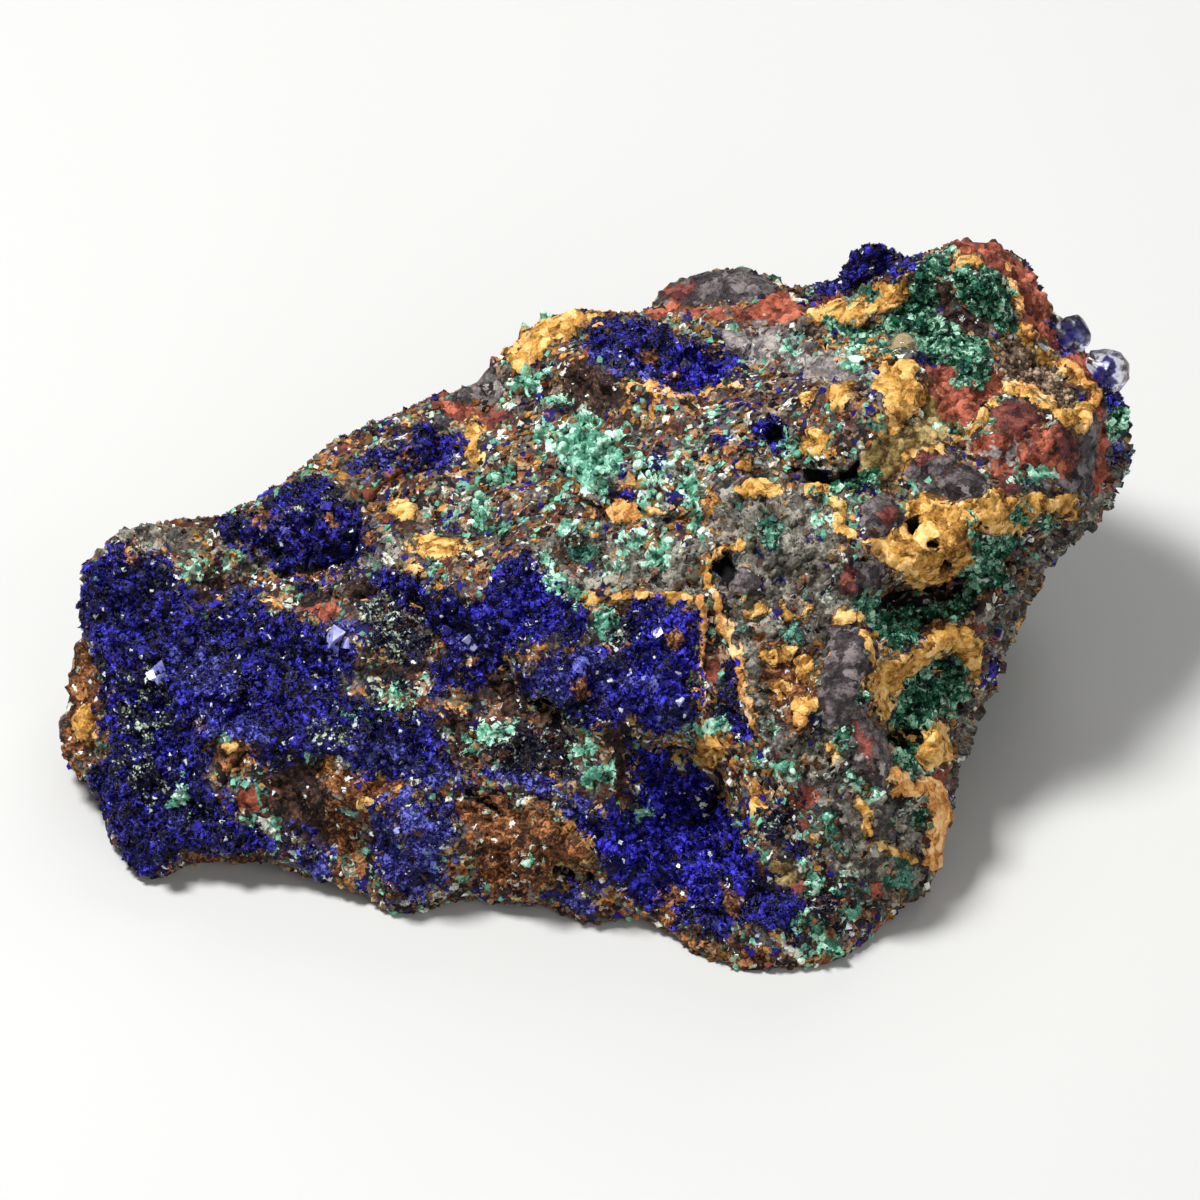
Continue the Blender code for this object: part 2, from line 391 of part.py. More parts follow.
def made_object(name, points, faces):
    """An object in the scene from points and faces."""
    mesh = bpy.data.meshes.new(name)
    mesh.from_pydata([tuple(point) for point in points], [], [tuple(face) for face in faces])
    mesh.validate()
    made = bpy.data.objects.new(name, mesh)
    bpy.context.scene.collection.objects.link(made)
    return made


def applied(obj):
    """Makes the object's modifiers part of its mesh."""
    bpy.context.view_layer.update()
    graph = bpy.context.evaluated_depsgraph_get()
    mesh = bpy.data.meshes.new_from_object(obj.evaluated_get(graph))
    obj.modifiers.clear()
    obj.data = mesh
    return obj


def cut_away(obj, cutter):
    """Takes the cutter's shape out of the object, and removes the cutter."""
    cut = obj.modifiers.new("cut", "BOOLEAN")
    cut.operation = "DIFFERENCE"
    cut.solver = "EXACT"
    cut.object = cutter
    applied(obj)
    bpy.data.objects.remove(cutter)
    return obj


def arrays_of(obj):
    """The object's points, as rows in metres, and its triangles."""
    mesh = obj.data
    mesh.calc_loop_triangles()
    points = np.empty(len(mesh.vertices) * 3, np.float32)
    mesh.vertices.foreach_get("co", points)
    faces = np.empty(len(mesh.loop_triangles) * 3, np.int32)
    mesh.loop_triangles.foreach_get("vertices", faces)
    return points.reshape(-1, 3).astype(float), faces.reshape(-1, 3)


def moved(obj, points):
    """Sets the object's points."""
    obj.data.vertices.foreach_set("co", points.astype(np.float32).ravel())
    obj.data.update()
    return obj


def surface_tree(points, faces):
    """The rock's surface, ready for rays and for the nearest place."""
    return BVHTree.FromPolygons(points.tolist(), faces.tolist(), all_triangles=True)


def unit(rows):
    """Each row brought to length 1."""
    return rows / np.maximum(np.linalg.norm(rows, axis=1), TINY)[:, None]


def face_slopes(points, faces):
    """Each face's normal, as long as twice its area."""
    corners = points[faces]
    return np.cross(corners[:, 1] - corners[:, 0], corners[:, 2] - corners[:, 0])


def point_normals(points, faces):
    """A unit normal at each point, from the faces round it."""
    normals = np.zeros_like(points)
    for corner in range(3):
        np.add.at(normals, faces[:, corner], face_slopes(points, faces))
    return unit(normals)


def edges_of(faces):
    """The three edges of each face: all first edges, then all second, then all third."""
    return np.concatenate([faces[:, [0, 1]], faces[:, [1, 2]], faces[:, [2, 0]]])


def smooth(share):
    """An even step from 0 to 1."""
    share = np.clip(share, 0.0, 1.0)
    return share * share * (3.0 - 2.0 * share)


def nearness(places, path, closed=False):
    """How far each place, as rows of across and up, lies from a path."""
    ends = path[1:] + path[:1] if closed else path[1:]
    best = np.full(len(places), np.inf)
    for (x0, y0), (x1, y1) in zip(path, ends):
        run = np.array([x1 - x0, y1 - y0])
        start = places - (x0, y0)
        share = np.clip(start @ run / (run @ run), 0.0, 1.0)
        best = np.minimum(best, np.linalg.norm(start - share[:, None] * run, axis=1))
    return best


def in_zone(places, zone):
    """Which of these places, as rows of across and up, lie inside an outline."""
    inside = np.zeros(len(places), bool)
    for (x0, y0), (x1, y1) in zip(zone, zone[1:] + zone[:1]):
        if y0 != y1:
            spans = (y0 > places[:, 1]) != (y1 > places[:, 1])
            inside ^= spans & (places[:, 0] < x0 + (places[:, 1] - y0) * (x1 - x0) / (y1 - y0))
    return inside


def dome_ring(step):
    """One ring of the far side, in from the rim."""
    angle = math.radians(90) * step / (DOME_RINGS + 1)
    inward = math.cos(angle) ** DOME_SQUARENESS
    backward = math.sin(angle) ** DOME_SQUARENESS
    keel_across, keel_up, keel_out = KEEL
    return [
        (
            keel_across + (across - keel_across) * inward,
            keel_up + (up - keel_up) * inward,
            out + (keel_out - out) * backward,
        )
        for across, up, out in RIM
    ]


def fractured(points):
    """The points of the far side, in metres, with those beyond each fracture pressed nearly flat onto it."""
    for way, depth in FRACTURES:
        normal = np.array(way) / np.linalg.norm(way)
        beyond = points @ normal - (points @ normal).max() + depth * MM
        points = points - np.outer(np.maximum(beyond, 0.0) * FRACTURE_FLATNESS, normal)
    return points


def show_face_triangles():
    """The triangles between the rim and the points of the show face."""
    flat = [Vector(point[:2]) for point in RIM + SHOW_FACE]
    rim_edges = [(i, (i + 1) % len(RIM)) for i in range(len(RIM))]
    found = geometry.delaunay_2d_cdt(flat, rim_edges, [], INSIDE_ONLY, CDT_TOLERANCE)
    faces, origins = found[2], found[3]
    # The triangles come back on the triangulation's own points, which origins ties to the points given.
    return [tuple(origins[corner][0] for corner in face) for face in faces]


def blocked_out_rock():
    """The rock as broad flat facets: the show face through its own points, and the dome behind it."""
    points = RIM + SHOW_FACE
    front_count = len(points)
    faces = show_face_triangles()
    ring = list(range(len(RIM)))
    for step in range(1, DOME_RINGS + 1):
        inner = list(range(len(points), len(points) + len(RIM)))
        points = points + dome_ring(step)
        for i, start in enumerate(ring):
            after = (i + 1) % len(ring)
            faces.append((start, ring[after], inner[after], inner[i]))
        ring = inner
    faces += [(start, ring[(i + 1) % len(ring)], len(points)) for i, start in enumerate(ring)]
    points = points + [KEEL]
    placed = np.array([show_to_world(point) for point in points])
    placed[front_count:] = fractured(placed[front_count:])

    rock = made_object("host_rock", placed, faces)
    shape = bmesh.new()
    shape.from_mesh(rock.data)
    bmesh.ops.recalc_face_normals(shape, faces=shape.faces)
    shape.to_mesh(rock.data)
    shape.free()
    return rock


def remeshed(obj):
    """The same solid on an even grid."""
    grid = obj.modifiers.new("grid", "REMESH")
    grid.mode = "VOXEL"
    grid.voxel_size = FINE_STEP * MM
    grid.adaptivity = 0.0
    return applied(obj)


def weathering(place):
    """How far the surface stands out at a place, in millimetres."""
    swell = noise.fractal(place / SWELLS[0], 1.0, 2.0, SWELL_OCTAVES) * SWELLS[1]
    lump = (abs(noise.noise(place / LUMPS[0])) - LUMP_LEVEL) * LUMPS[1]
    nearest = noise.voronoi(place / CHIPS[0])[0]
    return swell + lump + (nearest[1] - nearest[0] - CHIP_LEVEL) * CHIPS[1]


def weathered(obj):
    """Raises swells, lumps and chips along the surface's own normals, and keeps the rim's line."""
    points, faces = arrays_of(obj)
    heights = np.array([weathering(Vector(place)) for place in points / MM])
    rim = [point[:2] for point in RIM]
    inner = smooth(nearness(world_to_show(points)[:, :2], rim, closed=True) / RIM_BAND)
    heights *= RIM_WEATHERING + (1.0 - RIM_WEATHERING) * inner
    heights += RIM_SWELL * (1.0 - inner)
    return moved(obj, points + point_normals(points, faces) * (heights * MM)[:, None])


def hollow_depths(places, wander):
    """How deep the hollows go at each place, with the knobs below 0."""
    depths = np.zeros(len(places))
    for across, up, half_width, half_height, turn, depth, full in HOLLOWS_AND_KNOBS:
        angle = math.radians(turn)
        side, rise = places[:, 0] - across, places[:, 1] - up
        along = (side * math.cos(angle) + rise * math.sin(angle)) / half_width
        over = (rise * math.cos(angle) - side * math.sin(angle)) / half_height
        radius = np.hypot(along, over) + WANDER * wander
        depths += depth * smooth((1.0 - radius) / (1.0 - full))
    return depths


def ridge_heights(places, wander):
    """How high the ridges stand at each place, with the crevices below 0."""
    heights = np.zeros(len(places))
    for half_width, height, path in RIDGES_AND_CREVICES:
        reach = nearness(places, path) / half_width + WANDER * wander
        heights += height * smooth(1.0 - reach * RIDGE_SHARPNESS)
    return heights


def carved(obj):
    """Sinks the hollows and raises the ridges, along the direction that the show face looks in."""
    points, faces = arrays_of(obj)
    outward = np.array(out_axis())
    show = world_to_show(points)
    wander = np.array([noise.noise(Vector(place) / WANDER_SIZE) for place in show])
    heights = ridge_heights(show[:, :2], wander) - hollow_depths(show[:, :2], wander)
    heights *= np.clip(point_normals(points, faces) @ outward * SIDE_FADE, 0.0, 1.0)
    return moved(obj, points + outward * (heights * MM)[:, None])


def thinned(obj, ratio, group=""):
    """The object with this share of its triangles, taken from one group of points where it is named."""
    fewer = obj.modifiers.new("facets", "DECIMATE")
    fewer.ratio = ratio
    fewer.vertex_group = group
    return applied(obj)


def faceted(obj):
    """Brings the rock down to its share of triangles: broad facets behind, smaller ones on the show face."""
    points, faces = arrays_of(obj)
    behind = point_normals(points, faces) @ np.array(out_axis()) < BEHIND
    group = obj.vertex_groups.new(name="behind")
    group.add([int(number) for number in np.nonzero(behind)[0]], 1.0, "REPLACE")
    thinned(obj, 1.0 - behind.mean() * BEHIND_DROPPED, group.name)
    obj.vertex_groups.clear()
    return thinned(obj, HOST_TRIANGLES / len(arrays_of(obj)[1]))


def levelled(obj):
    """Cuts the underside off flat at the base plane."""
    bpy.ops.mesh.primitive_cube_add(size=BENEATH, location=(0.0, 0.0, -BENEATH / 2.0))
    return cut_away(obj, bpy.context.object)


def clear_above(points, faces, reach):
    """Which faces have no more rock above them within reach, along the way that the show face looks."""
    tree = surface_tree(points, faces)
    lift = out_axis()
    corners = points[faces]
    middle = corners.mean(axis=1)
    halfway = (corners + np.roll(corners, 1, axis=1)) / 2.0
    free = np.ones(len(faces), bool)
    for spot in np.concatenate([corners, halfway], axis=1).transpose(1, 0, 2):
        starts = middle + (spot - middle) * SEARCH_SPREAD + np.array(lift) * CLEARANCE * MM
        free &= np.array([tree.ray_cast(Vector(start), lift, reach * MM)[0] is None for start in starts])
    return free


def evened(faces, chosen, fit):
    """The choice of faces with its lone spikes dropped and its notches filled."""
    index = np.unique(np.sort(edges_of(faces), axis=1), axis=0, return_inverse=True)[1].reshape(3, -1)
    shared = np.bincount(index.ravel(), weights=np.tile(chosen, 3))
    neighbours = shared[index].sum(axis=0) - 3 * chosen
    return (neighbours >= 2) & fit


def pinched_points(faces):
    """Points where a patch touches itself at a corner alone."""
    rims, count = np.unique(np.sort(edges_of(faces), axis=1), axis=0, return_counts=True)
    corners, times = np.unique(rims[count == 1], return_counts=True)
    return corners[times > 2]


def crust_faces(points, faces, crust, taken):
    """The rock's faces that carry the crust: those in its zone that look outwards, as one clean patch."""
    slopes = unit(face_slopes(points, faces)) @ np.array(out_axis())
    reach = crust.thickness + crust.crystal + CRUST_LIFT + GAP
    fit = (slopes > STEEPEST) & clear_above(points, faces, reach) & ~np.isin(faces, list(taken)).any(axis=1)
    chosen = in_zone(world_to_show(points[faces].mean(axis=1)), crust.zone) & fit
    for _ in range(TIDY_ROUNDS):
        chosen = evened(faces, chosen, fit)
    while len(pinched := pinched_points(faces[chosen])):
        chosen &= ~np.isin(faces, pinched).any(axis=1)
    return largest_patch(faces[chosen])


def largest_patch(faces):
    """The most faces that hang together by their edges."""
    by_edge = {}
    sides = [[frozenset(edge) for edge in ((a, b), (b, c), (c, a))] for a, b, c in faces.tolist()]
    for number, edges in enumerate(sides):
        for edge in edges:
            by_edge.setdefault(edge, set()).add(number)
    left, best = set(range(len(faces))), []
    while left:
        patch = [left.pop()]
        for number in patch:
            beside = set().union(*(by_edge[edge] for edge in sides[number])) & left
            left -= beside
            patch.extend(beside)
        best = max(best, patch, key=len)
    return faces[sorted(best)]


def rim_of(faces):
    """The open edges of a patch, in the order that its faces run."""
    edges = edges_of(faces)
    _, index, count = np.unique(np.sort(edges, axis=1), axis=0, return_inverse=True, return_counts=True)
    return edges[count[index.reshape(-1)] == 1]


def drawn_in(points, faces, rim, tree):
    """The patch's points, with those on its rim drawn in from its edge along the rock's surface."""
    pull = np.zeros_like(points)
    middles = points[faces].mean(axis=1)
    for corner in range(3):
        np.add.at(pull, faces[:, corner], middles - points[faces[:, corner]])
    drawn = points.copy()
    lift = out_axis()
    for number, way in zip(rim, unit(pull[rim])):
        place = Vector(points[number] + way * RIM_DRAWN_IN * MM)
        found = tree.ray_cast(place + lift * RIM_SEARCH * MM, -lift, 2.0 * RIM_SEARCH * MM)[0]
        drawn[number] = place if found is None else found
    return drawn


def crust_shell(under, over, patch, tips, raised):
    """The faces of a crust's closed skin. Its points are the underside's, then the top's, then the tips."""
    count = len(under)
    faces = [tuple(face[::-1]) for face in patch]
    for a, b in rim_of(patch):
        faces += [(a, b, b + count), (a, b + count, a + count)]
    faces += [tuple(face + count) for face in patch[~raised]]
    for tip, (a, b, c) in enumerate(patch[raised] + count, start=2 * count):
        faces += [(a, b, tip), (b, c, tip), (c, a, tip)]
    return np.concatenate([under, over, tips[raised]]), faces


def grow_crust(crust, rock, taken):
    """A crust on the rock: a skin that follows the rock's own faces, with crystals raised on most of them."""
    points, faces = arrays_of(rock)
    lift = np.array(out_axis())
    used, patch = np.unique(crust_faces(points, faces, crust, taken), return_inverse=True)
    taken.update(used.tolist())
    patch = patch.reshape(-1, 3)
    rim = np.unique(rim_of(patch))
    under = drawn_in(points[used], patch, rim, surface_tree(points, faces)) + lift * CRUST_LIFT * MM
    rise = np.full(len(under), crust.thickness)
    rise[rim] *= RIM_THICKNESS
    over = under + lift * (rise * MM)[:, None]

    chance = np.random.default_rng(len(patch))
    heights = crust.crystal * chance.uniform(LOWEST_CRYSTAL, 1.0, len(patch))
    shares = chance.dirichlet((LEAN, LEAN, LEAN), len(patch))
    tips = (over[patch] * shares[:, :, None]).sum(axis=1) + lift * heights[:, None] * MM
    raised = chance.random(len(patch)) < CRYSTAL_SHARE
    return made_object(crust.name, *crust_shell(under, over, patch, tips, raised))


def islands_of(shape):
    """The sets of points that hang together, the smallest first."""
    left = set(shape.verts)
    islands = []
    while left:
        island = [left.pop()]
        for vert in island:
            beside = {other for edge in vert.link_edges for other in edge.verts} & left
            left -= beside
            island.extend(beside)
        islands.append(island)
    return sorted(islands, key=len)


def seated(piece, rock):
    """Cuts the piece back to the gap from the rock, and drops the chips that this leaves."""
    grown = rock.copy()
    grown.data = rock.data.copy()
    bpy.context.scene.collection.objects.link(grown)
    swell = grown.modifiers.new("gap", "DISPLACE")
    swell.strength = GAP * MM
    swell.mid_level = 0.0
    cut_away(piece, applied(grown))
    shape = bmesh.new()
    shape.from_mesh(piece.data)
    chips = [vert for island in islands_of(shape)[:-1] for vert in island]
    bmesh.ops.delete(shape, geom=chips, context="VERTS")
    shape.to_mesh(piece.data)
    shape.free()
    return piece


def grow_lump(lump, rock):
    """A crystal lump that stands on the rock, cut to a small gap from it."""
    foot, normal = surface_tree(*arrays_of(rock)).find_nearest(show_to_world(lump.place))[:2]
    middle = foot + normal * STANDS_OFF * sum(lump.half_sizes) / 3.0 * MM
    chance = np.random.default_rng(len(lump.name))
    shape = bmesh.new()
    bmesh.ops.create_icosphere(shape, subdivisions=LUMP_DETAIL, radius=1.0)
    start = show_to_world((0.0, 0.0, 0.0))
    for vert in shape.verts:
        swell = 1.0 + lump.roughness * chance.uniform(-1.0, 1.0)
        reach = [half * part * swell for half, part in zip(lump.half_sizes, vert.co)]
        vert.co = middle + show_to_world(reach) - start
    made = made_object(lump.name, [], [])
    bmesh.ops.recalc_face_normals(shape, faces=shape.faces)
    shape.to_mesh(made.data)
    shape.free()
    return seated(made, rock)


def dressed(obj, finish):
    """Gives the object its one material."""
    obj.data.materials.clear()
    obj.data.materials.append(finish)
    return obj


def main():
    """Builds every piece."""
    for obj in list(bpy.data.objects):
        bpy.data.objects.remove(obj)
    finishes = {name: made_material(name) for name in FINISHES}

    rock = remeshed(blocked_out_rock())
    rock = remeshed(carved(weathered(rock)))
    rock = dressed(levelled(faceted(rock)), finishes["gossan"])
    taken = set()
    for crust in CRUSTS:
        dressed(grow_crust(crust, rock, taken), finishes[crust.mineral])
    for lump in CRYSTAL_LUMPS:
        dressed(grow_lump(lump, rock), finishes[lump.mineral])
    for piece in bpy.context.scene.objects:
        piece.location -= Vector((*BASE_MIDDLE, 0.0)) * MM


main()
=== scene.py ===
"""Azurite specimen: a hand-sized lump of iron-stained rock with azurite and malachite, dressed on its solids.

The specimen lies on its flat base and leans its show face up and forwards. Places on the show face are given
in millimetres as across (to the right), up (along the leaning face) and out (towards whoever looks at it).
The mineral map holds where each mineral shows there. Every surface reads its amounts of each mineral from
that map, so that the crusts run on into the rock that carries them.
"""

import json
import logging
import math
from dataclasses import dataclass
from enum import Enum
from functools import cache

import bpy
import numpy as np
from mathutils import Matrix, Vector, noise
from mathutils.bvhtree import BVHTree

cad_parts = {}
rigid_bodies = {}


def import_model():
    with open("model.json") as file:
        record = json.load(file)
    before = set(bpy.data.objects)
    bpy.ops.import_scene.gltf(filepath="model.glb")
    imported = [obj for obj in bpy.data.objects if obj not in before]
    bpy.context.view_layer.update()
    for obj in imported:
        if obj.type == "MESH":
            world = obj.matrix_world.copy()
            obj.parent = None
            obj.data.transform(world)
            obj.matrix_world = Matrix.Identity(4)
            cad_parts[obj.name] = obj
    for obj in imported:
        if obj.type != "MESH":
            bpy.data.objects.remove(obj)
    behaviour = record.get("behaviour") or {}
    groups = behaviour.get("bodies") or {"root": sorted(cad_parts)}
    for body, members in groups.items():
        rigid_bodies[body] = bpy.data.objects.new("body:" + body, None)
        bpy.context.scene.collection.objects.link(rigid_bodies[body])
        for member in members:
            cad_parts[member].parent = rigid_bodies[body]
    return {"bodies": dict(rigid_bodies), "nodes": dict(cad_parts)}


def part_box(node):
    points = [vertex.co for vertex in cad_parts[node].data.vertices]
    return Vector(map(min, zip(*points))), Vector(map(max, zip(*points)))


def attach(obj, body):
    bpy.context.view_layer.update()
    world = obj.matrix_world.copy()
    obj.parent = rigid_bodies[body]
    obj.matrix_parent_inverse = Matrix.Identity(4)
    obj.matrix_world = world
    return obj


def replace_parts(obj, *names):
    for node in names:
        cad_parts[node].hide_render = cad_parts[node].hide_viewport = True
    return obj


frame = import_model()

LOG = logging.getLogger("azurite_specimen")
MM = 0.001
FAR_OFF = -2.0

Pair = tuple[float, float]
Tone = tuple[int, int, int]
Rows = np.ndarray


# ---------------------------------------------------------------- the show face and its minerals


@dataclass(frozen=True)
class ShowFace:
    """The leaning face that the specimen shows, and how its places lie in the specimen's frame.

    Attributes:
        look_down: Degrees above the horizon from which the face is looked at square on.
        base_out: Where the base plane meets the middle of the face, measured out from it.
        middle: Middle of the specimen's box, to the right and back of the face's middle.
    """

    look_down: float = 40.0
    base_out: float = -31.0
    middle: Pair = (-0.25, 6.55)

    @property
    def sine(self) -> float:
        """Sine of the angle that the face is looked down at."""
        return math.sin(math.radians(self.look_down))

    @property
    def cosine(self) -> float:
        """Cosine of the angle that the face is looked down at."""
        return math.cos(math.radians(self.look_down))

    def outward(self) -> Rows:
        """The unit direction out of the face."""
        return np.array([0.0, -self.cosine, self.sine])

    def centre(self) -> Vector:
        """The face's middle in the specimen's frame, in metres."""
        return Vector((-self.middle[0], -self.middle[1], -self.base_out * self.sine)) * MM

    def point(self, across: float, up: float, out: float) -> Vector:
        """The point of the specimen at a place on the show face.

        Args:
            across: Millimetres to the right.
            up: Millimetres up the leaning face.
            out: Millimetres out of it.

        Returns:
            The point, in metres.
        """
        back = up * self.sine - out * self.cosine
        rise = up * self.cosine + (out - self.base_out) * self.sine
        return Vector((across - self.middle[0], back - self.middle[1], rise)) * MM

    def places(self, points: Rows) -> Rows:
        """Turns points of the specimen into places on the show face.

        Args:
            points: Rows of x, y and z, in metres.

        Returns:
            Rows of across, up and out, in millimetres.
        """
        across = points[:, 0] / MM + self.middle[0]
        back = points[:, 1] / MM + self.middle[1]
        rise = points[:, 2] / MM + self.base_out * self.sine
        up = back * self.sine + rise * self.cosine
        out = rise * self.sine - back * self.cosine
        return np.column_stack([across, up, out])


class Mineral(Enum):
    """The minerals and kinds of rock that show, from the bottom layer to the top one, and last the painted
    shade of hollows.
    """

    MIXED = "mixed"
    GREY = "grey"
    CHOCOLATE = "chocolate"
    KHAKI = "khaki"
    ORANGE = "orange"
    PURPLE = "purple"
    RED = "red"
    MAROON = "maroon"
    GOETHITE = "goethite"
    OCHRE = "ochre"
    PEACH = "peach"
    PALE = "pale"
    AZURITE = "azurite"
    ROYAL = "royal"
    VIOLET = "violet"
    QUARTZ = "quartz"
    GREEN = "green"
    TEAL = "teal"
    MINT = "mint"
    RUST = "rust"
    # Painted shade: near-black painted into holes, slits and under ledges, which the relief also sinks.
    DARK = "dark"


class Slot(Enum):
    """The material slots of the specimen's record."""

    ROCK = "gossan"
    AZURITE = "azurite"
    MINT = "light_malachite"
    GREEN = "dark_malachite"
    CLEAR = "quartz"


def off_path(places: Rows, path: tuple[Pair, ...]) -> Rows:
    """How far places lie off a path.

    Args:
        places: Rows of across and up.
        path: The path's points, in order.

    Returns:
        Millimetres to the nearest point of the path.
    """
    near = np.full(len(places), np.inf)
    for (x0, y0), (x1, y1) in zip(path, path[1:]):
        run = np.array([x1 - x0, y1 - y0])
        start = places - (x0, y0)
        share = np.clip(start @ run / (run @ run), 0.0, 1.0)
        near = np.minimum(near, np.linalg.norm(start - share[:, None] * run, axis=1))
    return near


@dataclass(frozen=True)
class Outline:
    """A spread of mineral inside a drawn outline."""

    corners: tuple[Pair, ...]

    def depth(self, places: Rows) -> Rows:
        """How far inside the spread each place lies.

        Args:
            places: Rows of across and up.

        Returns:
            Millimetres to the edge, above 0 inside.
        """
        path = self.corners + self.corners[:1]
        near = off_path(places, path)
        inside = np.zeros(len(places), bool)
        for (x0, y0), (x1, y1) in zip(path, path[1:]):
            if y0 != y1:
                spans = (y0 > places[:, 1]) != (y1 > places[:, 1])
                inside ^= spans & (places[:, 0] < x0 + (places[:, 1] - y0) * (x1 - x0) / (y1 - y0))
        return np.where(inside, near, -near)

    def box(self) -> tuple[Pair, Pair]:
        """The lowest and highest corner of the spread."""
        return tuple(map(min, zip(*self.corners))), tuple(map(max, zip(*self.corners)))


@dataclass(frozen=True)
class Spot:
    """A rounded spot of mineral, turned by an angle in degrees."""

    across: float
    up: float
    half_width: float
    half_height: float
    turn: float = 0.0

    def depth(self, places: Rows) -> Rows:
        """How far inside the spot each place lies.

        Args:
            places: Rows of across and up.

        Returns:
            Millimetres to the edge, above 0 inside.
        """
        angle = math.radians(self.turn)
        side, rise = places[:, 0] - self.across, places[:, 1] - self.up
        along = (side * math.cos(angle) + rise * math.sin(angle)) / self.half_width
        over = (rise * math.cos(angle) - side * math.sin(angle)) / self.half_height
        return (1.0 - np.hypot(along, over)) * min(self.half_width, self.half_height)

    def box(self) -> tuple[Pair, Pair]:
        """The lowest and highest corner of the spot."""
        reach = max(self.half_width, self.half_height)
        return (self.across - reach, self.up - reach), (self.across + reach, self.up + reach)


@dataclass(frozen=True)
class Vein:
    """A line of mineral along a path."""

    half_width: float
    path: tuple[Pair, ...]

    def depth(self, places: Rows) -> Rows:
        """How far inside the vein each place lies.

        Args:
            places: Rows of across and up.

        Returns:
            Millimetres to the edge, above 0 inside.
        """
        return self.half_width - off_path(places, self.path)

    def box(self) -> tuple[Pair, Pair]:
        """The lowest and highest corner of the vein's path."""
        return tuple(map(min, zip(*self.path))), tuple(map(max, zip(*self.path)))


Spread = Outline | Spot | Vein

